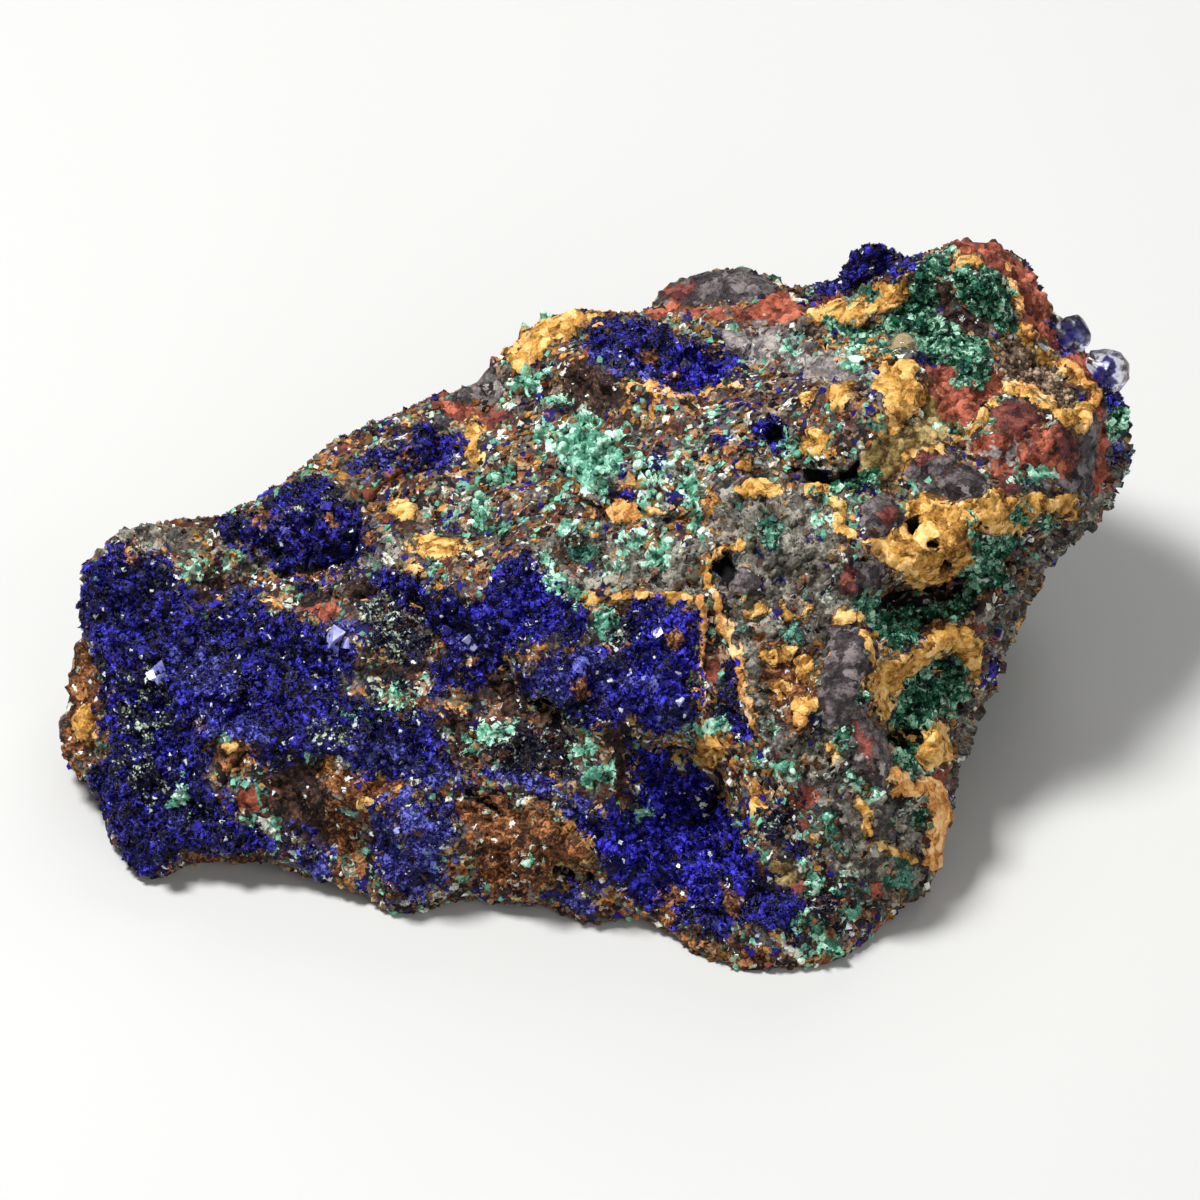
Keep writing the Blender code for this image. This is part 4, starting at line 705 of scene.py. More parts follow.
    ),
    Mineral.TEAL: (
        Spot(29.7, -27.3, 1.3, 1.5),
        Spot(17.0, 6.8, 1.2, 1.5, -20),
        Spot(19.6, -2.9, 0.9, 0.9),
        Spot(-1.8, 4.6, 1.9, 1.0, -15),
        Spot(-10.6, 6.9, 0.9, 0.4),
        Spot(24.6, -28.0, 1.2, 1.0),
        Spot(27.0, 25.0, 2.0, 0.5, -10),
        Spot(9.9, 8.8, 0.9, 0.9),
        Spot(26.6, 30.6, 1.2, 0.6, 25),
    ),
    Mineral.MINT: (
        Spot(-1.1, -15.0, 0.6, 0.9, 20),
        Spot(-0.5, -17.4, 0.7, 0.8),
        Outline((  # the main patch
            (-7.1, 17.0), (-5.6, 17.5), (-4.1, 16.7), (-1.5, 19.0), (0.0, 17.2), (2.6, 17.2), (2.3, 15.4),
            (1.8, 13.1), (0.8, 12.1), (0.3, 10.3), (-1.8, 11.1), (-3.0, 12.9), (-4.1, 14.4), (-5.6, 14.7),
            (-5.3, 16.2),
        )),
        Vein(0.6, ((3.8, 9.4), (5.0, 10.4), (5.8, 11.7), (7.9, 13.1), (9.2, 11.1), (9.7, 9.0), (9.0, 7.6))),
        Spot(3.8, 13.6, 0.8, 0.8),
        Spot(4.1, 11.3, 0.8, 0.7),
        Spot(-10.4, 12.4, 0.9, 0.9),
        Spot(-9.0, 13.1, 0.6, 0.7),
        Spot(-8.3, 21.2, 0.7, 0.7),
        Spot(-7.0, 21.8, 0.7, 0.6),
        Spot(-5.5, 22.6, 1.0, 0.9),
        Spot(-5.6, 19.9, 1.6, 0.5, 10),
        Outline(((-14.5, 8.8), (-12.5, 9.8), (-11.0, 10.2), (-10.4, 9.3), (-11.7, 7.8), (-12.2, 8.3))),
        Vein(0.35, ((-4.3, 7.8), (-2.5, 7.0), (-0.5, 7.2))),
        Spot(4.0, 5.9, 1.6, 0.9),
        Spot(5.2, 4.2, 0.8, 0.9),
        Spot(2.0, 4.2, 0.8, 0.5, 40),
        Vein(0.45, ((-41.0, 3.2), (-39.0, 3.6), (-36.8, 4.0))),
        Vein(0.35, ((-13.0, -13.4), (-11.5, -12.9), (-9.6, -13.1))),
        Spot(-12.4, -15.0, 0.4, 0.5),
        Spot(-2.2, -14.9, 0.7, 0.6),
        Spot(-1.4, -15.9, 0.5, 0.5),
        Spot(-0.8, -17.8, 0.45, 0.8),
        Spot(0.8, -17.8, 0.4, 0.8),
        Spot(3.8, -21.0, 0.7, 0.6),
        Spot(0.4, -2.0, 0.7, 1.0),
        Vein(0.4, ((-5.5, 3.6), (-4.0, 1.6), (-2.0, 0.2))),
        Spot(11.2, -12.5, 0.8, 0.4),
        Spot(-6.7, -25.5, 0.8, 0.8),
        Vein(0.35, ((16.0, -15.9), (17.3, -16.4), (18.6, -16.2), (19.4, -17.2))),
        Spot(23.8, -13.7, 0.8, 0.9),
        Vein(0.5, ((24.8, -17.4), (25.6, -18.4), (26.6, -19.4))),
        Spot(20.0, -26.2, 0.5, 0.6),
        Spot(21.3, -27.7, 1.0, 0.9),
        Spot(25.3, -31.0, 1.1, 0.9),
        Vein(0.55, ((19.8, -31.6), (21.0, -32.3), (22.3, -33.6), (23.3, -34.8))),
        Spot(20.8, -35.4, 1.0, 0.6),
        Spot(24.2, -34.6, 0.5, 0.5),
        Vein(0.35, ((21.9, -21.7), (22.8, -23.2), (23.6, -24.6))),
        Spot(18.9, 24.8, 0.6, 0.8),
        Spot(25.3, 23.8, 0.7, 0.7),
        Spot(19.2, 15.3, 0.7, 1.4, 30),
        Spot(43.3, 12.6, 1.1, 0.6),
        Spot(23.3, 13.1, 0.4, 0.4),
        Spot(-20.2, -9.8, 0.9, 0.6),
        Spot(-24.6, -11.6, 0.8, 0.4),
        Spot(-41.8, -19.4, 0.5, 0.9),
        Spot(16.4, -12.8, 0.6, 0.6),
        Spot(22.0, 8.0, 0.4, 0.7),
        Spot(35.4, 16.8, 1.0, 0.5),
    ),
    Mineral.RUST: (  # chips that stand among the azurite
        Outline(((11.6, -27.2), (14.2, -29.2), (13.2, -31.2), (12.0, -29.6))),
        Spot(7.4, -29.4, 1.0, 0.6),
        Spot(6.4, -31.0, 0.9, 0.8, 40),
        Spot(7.4, -3.9, 0.8, 0.6, 20),
        Spot(-6.7, -5.4, 0.7, 0.5),
        Spot(-1.6, -8.8, 0.6, 0.8),
        Spot(-13.4, -6.4, 0.9, 0.5, 15),
        Spot(5.2, 24.3, 1.0, 0.6, -30),
        Spot(7.4, 23.0, 0.8, 0.5, -30),
        Spot(-29.4, 2.8, 1.8, 0.6, -10),
        Spot(-34.0, 8.4, 0.9, 0.5, 20),
        Spot(-27.0, 8.2, 0.7, 0.6),
        Spot(-19.6, 14.6, 0.7, 0.5),
        Spot(-46.6, 4.4, 0.8, 0.4),
        Spot(-40.2, -12.2, 0.6, 0.4),
    ),
    # Painted shade: near-black in holes, slits, gaps and shadow lines under ledges; the relief really sinks
    # these places.
    Mineral.DARK: (
        Spot(12.1, 3.0, 1.0, 1.2),
        Outline((
            (27.3, -1.1), (28.4, 0.8), (31.0, 0.9), (34.8, 1.5), (37.5, 1.9), (34.8, -0.3), (32.1, -0.6),
            (28.9, -1.1),
        )),
        Spot(30.0, -13.5, 1.4, 1.0),
        Spot(36.8, -10.2, 0.8, 0.4, 40),
        Outline((
            (17.5, 13.0), (20.3, 13.3), (22.6, 12.4), (25.5, 13.6), (25.5, 12.0), (22.3, 11.5), (19.5, 12.5),
        )),
        Spot(-29.3, 3.3, 3.4, 0.6, 5),
        Vein(0.3, ((-8.8, -7.2), (-7.6, -9.4), (-4.2, -11.6))),
        Vein(0.25, ((20.2, 26.9), (22.6, 25.9))),
        Vein(0.3, ((-13.0, -19.3), (-9.5, -21.4))),
        Vein(0.3, ((-4.5, -27.4), (-1.0, -27.4))),
        Spot(31.2, 7.7, 0.45, 0.35),
        Spot(34.7, 7.0, 0.6, 0.4),
        Spot(37.6, 7.3, 0.45, 0.4),
        Spot(34.0, 3.6, 0.3, 0.3),
        Spot(26.4, 4.1, 0.45, 0.3),
        Spot(33.2, 5.4, 0.35, 0.3),
        Spot(31.4, 9.2, 0.3, 0.3),
        Spot(17.0, 16.4, 0.8, 0.7),
        
    ),
}


@dataclass(frozen=True)
class FarSide:
    """How a mineral is spread over the sides that the show face doesn't reach.

    Attributes:
        size: Size of its patches, in millimetres.
        level: How much it is missing: the higher, the rarer. Above 1 it is never there.
    """

    size: float
    level: float


FAR_SIDES: dict[Mineral, FarSide] = {
    Mineral.MIXED: FarSide(9.0, 2.0),
    Mineral.GREY: FarSide(20.0, -0.15),
    Mineral.CHOCOLATE: FarSide(13.0, 0.1),
    Mineral.KHAKI: FarSide(13.0, 0.32),
    Mineral.ORANGE: FarSide(18.0, 0.1),
    Mineral.PURPLE: FarSide(12.0, 0.3),
    Mineral.RED: FarSide(16.0, 0.28),
    Mineral.MAROON: FarSide(9.0, 0.45),
    Mineral.GOETHITE: FarSide(14.0, 0.42),
    Mineral.OCHRE: FarSide(12.0, 0.26),
    Mineral.PEACH: FarSide(5.0, 0.55),
    Mineral.PALE: FarSide(9.0, 0.4),
    Mineral.AZURITE: FarSide(12.0, 0.38),
    Mineral.ROYAL: FarSide(8.0, 0.6),
    Mineral.VIOLET: FarSide(8.0, 0.55),
    Mineral.QUARTZ: FarSide(6.0, 0.6),
    Mineral.GREEN: FarSide(12.0, 0.52),
    Mineral.TEAL: FarSide(7.0, 0.62),
    Mineral.MINT: FarSide(7.0, 0.55),
    Mineral.RUST: FarSide(6.0, 0.6),
    Mineral.DARK: FarSide(4.0, 0.65),
}


def smooth(share: Rows) -> Rows:
    """An even step from 0 to 1, level at both ends.

    Args:
        share: How far along the step each value is, from 0 to 1.

    Returns:
        The height of the step there.
    """
    share = np.clip(share, 0.0, 1.0)
    return share * share * (3.0 - 2.0 * share)


def field(points: Rows, size: float, octaves: int, seed: float) -> Rows:
    """A fractal noise over points.

    Args:
        points: Rows of x, y and z, in metres.
        size: Size of its largest swells, in millimetres.
        octaves: How many times it is refined.
        seed: Which of the many such fields it is.

    Returns:
        A value for each point, mostly between -1 and 1.
    """
    shift = Vector((seed, -seed, 0.5 * seed))
    places = (points / (size * MM)).tolist()
    return np.array([noise.fractal(Vector(place) + shift, 1.0, 2.0, octaves) for place in places])


def blocks(points: Rows, size: float, seed: float) -> Rows:
    """A field of flat-topped blocks with narrow gaps between them.

    Args:
        points: Rows of x, y and z, in metres.
        size: Size of the blocks, in millimetres.
        seed: Which of the many such fields it is.

    Returns:
        A value for each point, about -1 to 1, even over a block's top.
    """
    noise.seed_set(1)  # noise_vector starts from it
    shift = Vector((seed, seed, -seed))
    found = np.empty(len(points))
    for number, place in enumerate((points / (size * MM)).tolist()):
        here = Vector(place) + shift
        away, sites = noise.voronoi(here + 0.35 * noise.noise_vector(here * 1.7))
        top = min(1.0, 4.0 * (away[1] - away[0]))
        found[number] = top * (1.0 + 0.8 * noise.cell(sites[0] * 7.3)) - 0.8
    return found


def knobs(points: Rows, size: float, seed: float) -> Rows:
    """A field of rounded, grape-like knobs.

    Args:
        points: Rows of x, y and z, in metres.
        size: Size of the knobs, in millimetres.
        seed: Which of the many such fields it is.

    Returns:
        A value for each point: 0.5 on a knob's top, down to about -0.7 between knobs.
    """
    shift = Vector((seed, seed, -seed))
    places = (points / (size * MM)).tolist()
    nearest = np.array([noise.voronoi(Vector(place) + shift)[0][0] for place in places])
    return 0.5 - 1.6 * nearest * nearest


@dataclass(frozen=True)
class MineralMap:
    """Says how much of each mineral shows at any point of the specimen.

    Attributes:
        face: The show face that the spreads are drawn on.
        reach: Depths are kept within this many millimetres.
        wander: How far the drawn edges wander, in millimetres.
        wander_size: Size of that wander.
        turn_over: Cosines to the show face's direction between which its map gives way to the far side's.
    """

    face: ShowFace
    reach: float = 2.0
    wander: float = 0.55
    wander_size: float = 1.7
    turn_over: Pair = (-0.2, 0.12)

    def depths(self, points: Rows, normals: Rows) -> dict[Mineral, Rows]:
        """How deep inside each mineral's spreads the points lie.

        Args:
            points: Rows of x, y and z, in metres.
            normals: The surface's unit normals there.

        Returns:
            For each mineral, millimetres to its edge, above 0 inside.
        """
        flat = self.face.places(points)[:, :2]
        low, high = self.turn_over
        shown = smooth((normals @ self.face.outward() - low) / (high - low))
        wander = self.wander * field(points, self.wander_size, 3, 7.0)
        found = {}
        for number, mineral in enumerate(Mineral):
            front = np.clip(self._drawn(mineral, flat) + wander, -self.reach, self.reach)
            back = np.clip(self._far_side(mineral, points, number), -self.reach, self.reach)
            found[mineral] = back + (front - back) * shown
        return found

    def _drawn(self, mineral: Mineral, flat: Rows) -> Rows:
        """Measures how deep places lie inside a mineral's drawn spreads.

        Args:
            mineral: The mineral.
            flat: Rows of across and up.

        Returns:
            Millimetres to the edge of the nearest spread, above 0 inside.
        """
        deepest = np.full(len(flat), -2.0 * self.reach)
        for spread in SPREADS[mineral]:
            low, high = spread.box()
            margin = 2.0 * self.reach
            near = ((flat > np.array(low) - margin) & (flat < np.array(high) + margin)).all(axis=1)
            deepest[near] = np.maximum(deepest[near], spread.depth(flat[near]))
        return deepest

    @staticmethod
    def _far_side(mineral: Mineral, points: Rows, number: int) -> Rows:
        """Measures how deep points lie inside a mineral's patches on the far sides.

        Args:
            mineral: The mineral.
            points: Rows of x, y and z, in metres.
            number: The mineral's number, which gives it a field of its own.

        Returns:
            Millimetres to the edge, above 0 inside.
        """
        spread = FAR_SIDES[mineral]
        return (field(points, spread.size, 2, 3.0 + 11.0 * number) - spread.level) * spread.size * 0.4


# ---------------------------------------------------------------- meshes


@dataclass
class Skin:
    """A closed surface of triangles, with what its finish reads at each of its points.

    Attributes:
        points: Rows of x, y and z, in metres.
        triangles: Rows of three point numbers.
        faceted: For each triangle, whether it is shaded flat.
        values: Named values of the points.
    """

    points: Rows
    triangles: Rows
    faceted: Rows
    values: dict[str, Rows]

    @classmethod
    def of_mesh(cls, mesh: bpy.types.Mesh) -> "Skin":
        """Reads a mesh's points and triangles.

        Args:
            mesh: The mesh to read.

        Returns:
            Its skin, all of it smooth.
        """
        mesh.calc_loop_triangles()
        points = np.empty(3 * len(mesh.vertices))
        mesh.vertices.foreach_get("co", points)
        triangles = np.empty(3 * len(mesh.loop_triangles), np.int32)
        mesh.loop_triangles.foreach_get("vertices", triangles)
        triangles = triangles.reshape(-1, 3)
        return cls(points.reshape(-1, 3), triangles, np.zeros(len(triangles), bool), {})

    def slopes(self) -> Rows:
        """The triangles' normals, each as long as twice its area."""
        first, second, third = (self.points[self.triangles[:, corner]] for corner in range(3))
        return np.cross(second - first, third - first)

    def normals(self) -> Rows:
        """The unit normals of the points.

        Returns:
            Rows of x, y and z, each the mean of its triangles' normals by area.
        """
        slopes = self.slopes()
        total = np.zeros_like(self.points)
        for corner in range(3):
            for axis in range(3):
                total[:, axis] += np.bincount(self.triangles[:, corner], slopes[:, axis], len(total))
        return total / np.maximum(np.linalg.norm(total, axis=1, keepdims=True), 1e-20)

    def gathered(self, chosen: Rows, size: float) -> "Skin":
        """Thins out a part of the skin evenly, before it is given any values.

        Args:
            chosen: For each point, whether it belongs to the part.
            size: Spacing of the points that are left there, in millimetres.

        Returns:
            The thinner skin.
        """
        cells = np.floor(self.points[chosen] / (size * MM)).astype(np.int64)
        _, group = np.unique(cells, axis=0, return_inverse=True)
        group = group.ravel()
        totals = [np.bincount(group, self.points[chosen, axis]) for axis in range(3)]
        centres = np.column_stack(totals) / np.bincount(group)[:, None]
        number = np.empty(len(self.points), np.int32)
        number[~chosen] = np.arange((~chosen).sum())
        number[chosen] = (~chosen).sum() + group
        triangles = number[self.triangles]
        first, second, third = triangles.T
        triangles = triangles[(first != second) & (second != third) & (third != first)]
        _, place, count = np.unique(np.sort(triangles, axis=1), axis=0, return_index=True, return_counts=True)
        triangles = triangles[np.sort(place[count == 1])]
        used, triangles = np.unique(triangles, return_inverse=True)
        points = np.vstack([self.points[~chosen], centres])[used]
        triangles = triangles.reshape(-1, 3).astype(np.int32)
        return Skin(points, triangles, np.zeros(len(triangles), bool), {})

    def joined(self, other: "Skin") -> "Skin":
        """Adds another skin to this one.

        Args:
            other: The other skin, with the same values.

        Returns:
            The two as one skin.
        """
        return Skin(
            np.vstack([self.points, other.points]),
            np.vstack([self.triangles, other.triangles + len(self.points)]),
            np.concatenate([self.faceted, other.faceted]),
            {name: np.concatenate([self.values[name], other.values[name]]) for name in self.values},
        )

    def made(self, name: str, slot: Slot, finish: "Finish") -> bpy.types.Object:
        """Makes a finished object of the skin, which rides on the specimen.

        Args:
            name: The object's name.
            slot: The record's slot that it belongs to. It is not used.
            finish: Its finish.

        Returns:
            The new object.
        """
        mesh = bpy.data.meshes.new(name)
        mesh.vertices.add(len(self.points))
        mesh.vertices.foreach_set("co", self.points.ravel())
        mesh.loops.add(self.triangles.size)
        mesh.loops.foreach_set("vertex_index", self.triangles.ravel())
        mesh.polygons.add(len(self.triangles))
        mesh.polygons.foreach_set("loop_start", np.arange(0, self.triangles.size, 3))
        mesh.polygons.foreach_set("use_smooth", ~self.faceted)
        mesh.update(calc_edges=True)
        for label, values in self.values.items():
            mesh.attributes.new(label, "FLOAT", "POINT").data.foreach_set("value", values)
        made = bpy.data.objects.new(name, mesh)
        bpy.context.scene.collection.objects.link(made)
        mesh.materials.append(finish.made())
        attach(made, "root")
        LOG.info("%s: %d triangles", name, len(self.triangles))
        return made


def refined(node: str, grain: float, rounding: int) -> Skin:
    """Makes a finer, rounder skin of one of the specimen's solids.

    Args:
        node: The solid's name.
        grain: Spacing of the new points, in millimetres.
        rounding: Rounds of smoothing.

    Returns:
        The new skin.
    """
    holder = bpy.data.objects.new("being_worked", frame["nodes"][node].data.copy())
    bpy.context.scene.collection.objects.link(holder)
    remesh = holder.modifiers.new("finer", "REMESH")
    remesh.mode = "VOXEL"
    remesh.voxel_size = grain * MM
    smoothing = holder.modifiers.new("rounder", "SMOOTH")
    smoothing.factor = 0.5
    smoothing.iterations = rounding
    bpy.context.view_layer.update()
    result = bpy.data.meshes.new_from_object(holder.evaluated_get(bpy.context.evaluated_depsgraph_get()))
    bpy.data.objects.remove(holder)
    return Skin.of_mesh(result)


def tree_of(skins: list[Skin]) -> BVHTree:
    """Makes one tree of several skins, for finding the nearest surface.

    Args:
        skins: The skins.

    Returns:
        The tree.
    """
    starts = np.cumsum([0] + [len(skin.points) for skin in skins])
    points = np.vstack([skin.points for skin in skins])
    triangles = np.vstack([skin.triangles + start for skin, start in zip(skins, starts)])
    return BVHTree.FromPolygons(points.tolist(), triangles.tolist())


def distances(points: Rows, *nodes: str) -> tuple[Rows, Rows]:
    """How far points are off some of the specimen's solids.

    Args:
        points: Rows of x, y and z, in metres.
        nodes: Names of the solids.

    Returns:
        The distances to the nearest of them in millimetres, and its unit normals there.
    """
    tree = tree_of([Skin.of_mesh(frame["nodes"][node].data) for node in nodes])
    found = [tree.find_nearest(point) for point in points.tolist()]
    return np.array([near[3] for near in found]) / MM, np.array([near[1] for near in found])


# ---------------------------------------------------------------- relief


@dataclass(frozen=True)
class Habit:
    """How a mineral stands on the specimen, in millimetres.

    Attributes:
        raised: How far it stands above the bare rock.
        swell: Height of its broad lumps.
        rough: Height of its small lumps.
        chip: Height of its flat-sided grains.
        bubble: Height of its rounded, grape-like knobs.
        pore: Depth of its small holes.
    """

    raised: float
    swell: float
    rough: float
    chip: float
    bubble: float
    pore: float


HABITS: dict[Mineral, Habit] = {
    Mineral.MIXED: Habit(0.0, 0.3, 0.3, 0.8, 0.0, 0.4),
    Mineral.GREY: Habit(0.05, 0.3, 0.15, 0.9, 0.0, 0.1),
    Mineral.CHOCOLATE: Habit(-0.1, 0.3, 0.3, 0.6, 0.1, 0.3),
    Mineral.KHAKI: Habit(0.1, 0.3, 0.45, 0.25, 0.0, 0.3),
    Mineral.ORANGE: Habit(0.0, 0.3, 0.4, 0.6, 0.0, 0.3),
    Mineral.PURPLE: Habit(0.3, 0.2, 0.15, 0.25, 0.0, 0.0),
    Mineral.RED: Habit(0.1, 0.3, 0.45, 0.4, 0.0, 0.2),
    Mineral.MAROON: Habit(0.25, 0.2, 0.15, 0.3, 0.0, 0.0),
    Mineral.GOETHITE: Habit(0.1, 0.2, 0.4, 0.3, 0.0, 0.3),
    Mineral.OCHRE: Habit(0.5, 0.4, 0.2, 0.15, 0.0, 0.9),
    Mineral.PEACH: Habit(0.6, 0.2, 0.2, 0.15, 0.0, 0.2),
    Mineral.PALE: Habit(0.0, 0.3, 0.3, 0.6, 0.0, 0.1),
    Mineral.AZURITE: Habit(0.3, 0.25, 0.35, 0.5, 0.0, 0.3),
    Mineral.ROYAL: Habit(0.3, 0.25, 0.35, 0.5, 0.0, 0.3),
    Mineral.VIOLET: Habit(0.35, 0.25, 0.35, 0.5, 0.0, 0.2),
    Mineral.QUARTZ: Habit(0.1, 0.25, 0.35, 0.5, 0.0, 0.4),
    Mineral.GREEN: Habit(0.2, 0.2, 0.3, 0.5, 0.9, 0.4),
    Mineral.TEAL: Habit(0.25, 0.2, 0.2, 0.3, 0.3, 0.1),
    Mineral.MINT: Habit(0.45, 0.2, 0.25, 1.1, 0.0, 0.9),
    Mineral.RUST: Habit(0.35, 0.2, 0.3, 0.5, 0.0, 0.2),
    Mineral.DARK: Habit(-1.3, 0.2, 0.3, 0.1, 0.0, 0.0),
}


@dataclass(frozen=True)
class Relief:
    """Raises the small forms of each mineral out of a skin.

    Attributes:
        swell_size: Size of the broad lumps, in millimetres.
        rough_size: Size of the small lumps.
        chip_size: Size of the flat-sided grains.
        bubble_size: Size of the rounded knobs.
        pore_size: Size of the field that the small holes come from.
        blend: Width over which one mineral's forms give way to the next one's.
    """

    swell_size: float = 5.0
    rough_size: float = 1.7
    chip_size: float = 1.5
    bubble_size: float = 1.9
    pore_size: float = 1.3
    blend: float = 0.35

    def heights(self, points: Rows, depths: dict[Mineral, Rows]) -> Rows:
        """How far each point is raised, in millimetres.

        Args:
            points: Rows of x, y and z, in metres.
            depths: The depths of the minerals at the points.

        Returns:
            The heights, below 0 where the skin sinks.
        """
        swell = field(points, self.swell_size, 2, 31.0)
        rough = field(points, self.rough_size, 3, 57.0)
        chip = blocks(points, self.chip_size, 13.0)
        bubble = knobs(points, self.bubble_size, 29.0)
        pore = -smooth((field(points, self.pore_size, 2, 83.0) - 0.18) / 0.22)
        total = np.zeros(len(points))
        for mineral, habit in HABITS.items():
            own = (habit.raised + habit.swell * swell + habit.rough * rough
                   + habit.chip * chip + habit.bubble * bubble + habit.pore * pore)
            share = smooth(depths[mineral] / self.blend + 0.5)
            total += (own - total) * share
        return total


# ---------------------------------------------------------------- small crystals and grains


@dataclass(frozen=True)
class Seedling:
    """A small faceted body that stands on the origin, about 1 wide and 1 high."""

    corners: tuple[tuple[float, float, float], ...]
    faces: tuple[tuple[int, int, int], ...]


# A thick blade with a chisel edge, the usual form of the azurite.
BLADE = Seedling(
    ((-0.5, -0.5, 0.0), (0.5, -0.5, 0.0), (0.5, 0.5, 0.0), (-0.5, 0.5, 0.0),
     (-0.4, 0.1, 1.0), (0.45, 0.1, 0.85)),
    ((0, 2, 1), (0, 3, 2), (0, 1, 5), (0, 5, 4), (2, 3, 4), (2, 4, 5), (1, 2, 5), (3, 0, 4)),
)
# A crumb of rock with eight corners.
CRUMB = Seedling(
    ((-0.5, -0.3, 0.1), (0.1, -0.5, 0.0), (0.5, 0.1, 0.15), (-0.1, 0.5, 0.0),
     (-0.3, -0.2, 0.7), (0.25, -0.25, 0.85), (0.3, 0.3, 0.65), (-0.3, 0.3, 0.75)),
    ((0, 3, 2), (0, 2, 1), (4, 5, 6), (4, 6, 7), (0, 1, 5), (0, 5, 4),
     (1, 2, 6), (1, 6, 5), (2, 3, 7), (2, 7, 6), (3, 0, 4), (3, 4, 7)),
)
# A shard of azurite, the size of a grain.
SHARD = Seedling(
    ((-0.5, -0.35, 0.0), (0.5, -0.25, 0.05), (0.05, 0.55, 0.0), (0.1, -0.1, 1.0)),
    ((0, 2, 1), (0, 1, 3), (1, 2, 3), (2, 0, 3)),
)
# A needle of the green velvet.
NEEDLE = Seedling(
    ((-0.5, -0.3, 0.0), (0.5, -0.3, 0.0), (0.0, 0.6, 0.0), (0.0, 0.0, 1.0)),
    ((0, 2, 1), (0, 1, 3), (1, 2, 3), (2, 0, 3)),
)


def bead(rings: int = 4, sides: int = 8) -> Seedling:
    """A rounded bead.

    Args:
        rings: Rings of points from its foot to its top.
        sides: Points in a ring.

    Returns:
        The bead's body.
    """
    corners = [(0.0, 0.0, 0.0)]
    for ring in range(1, rings + 1):
        angle = math.pi * ring / (rings + 1)
        radius = 0.5 * math.sin(angle)
        for side in range(sides):
            turn = math.tau * (side + 0.5 * ring) / sides
            corners.append((radius * math.cos(turn), radius * math.sin(turn), 0.5 - 0.5 * math.cos(angle)))
    corners.append((0.0, 0.0, 1.0))
    faces = []
    top = len(corners) - 1
    for side in range(sides):
        following = (side + 1) % sides
        faces.append((0, 1 + following, 1 + side))
        for ring in range(rings - 1):
            low, high = 1 + ring * sides, 1 + (ring + 1) * sides
            faces.append((low + side, low + following, high + side))
            faces.append((low + following, high + following, high + side))
        faces.append((top - sides + side, top - sides + following, top))
    return Seedling(tuple(corners), tuple(faces))


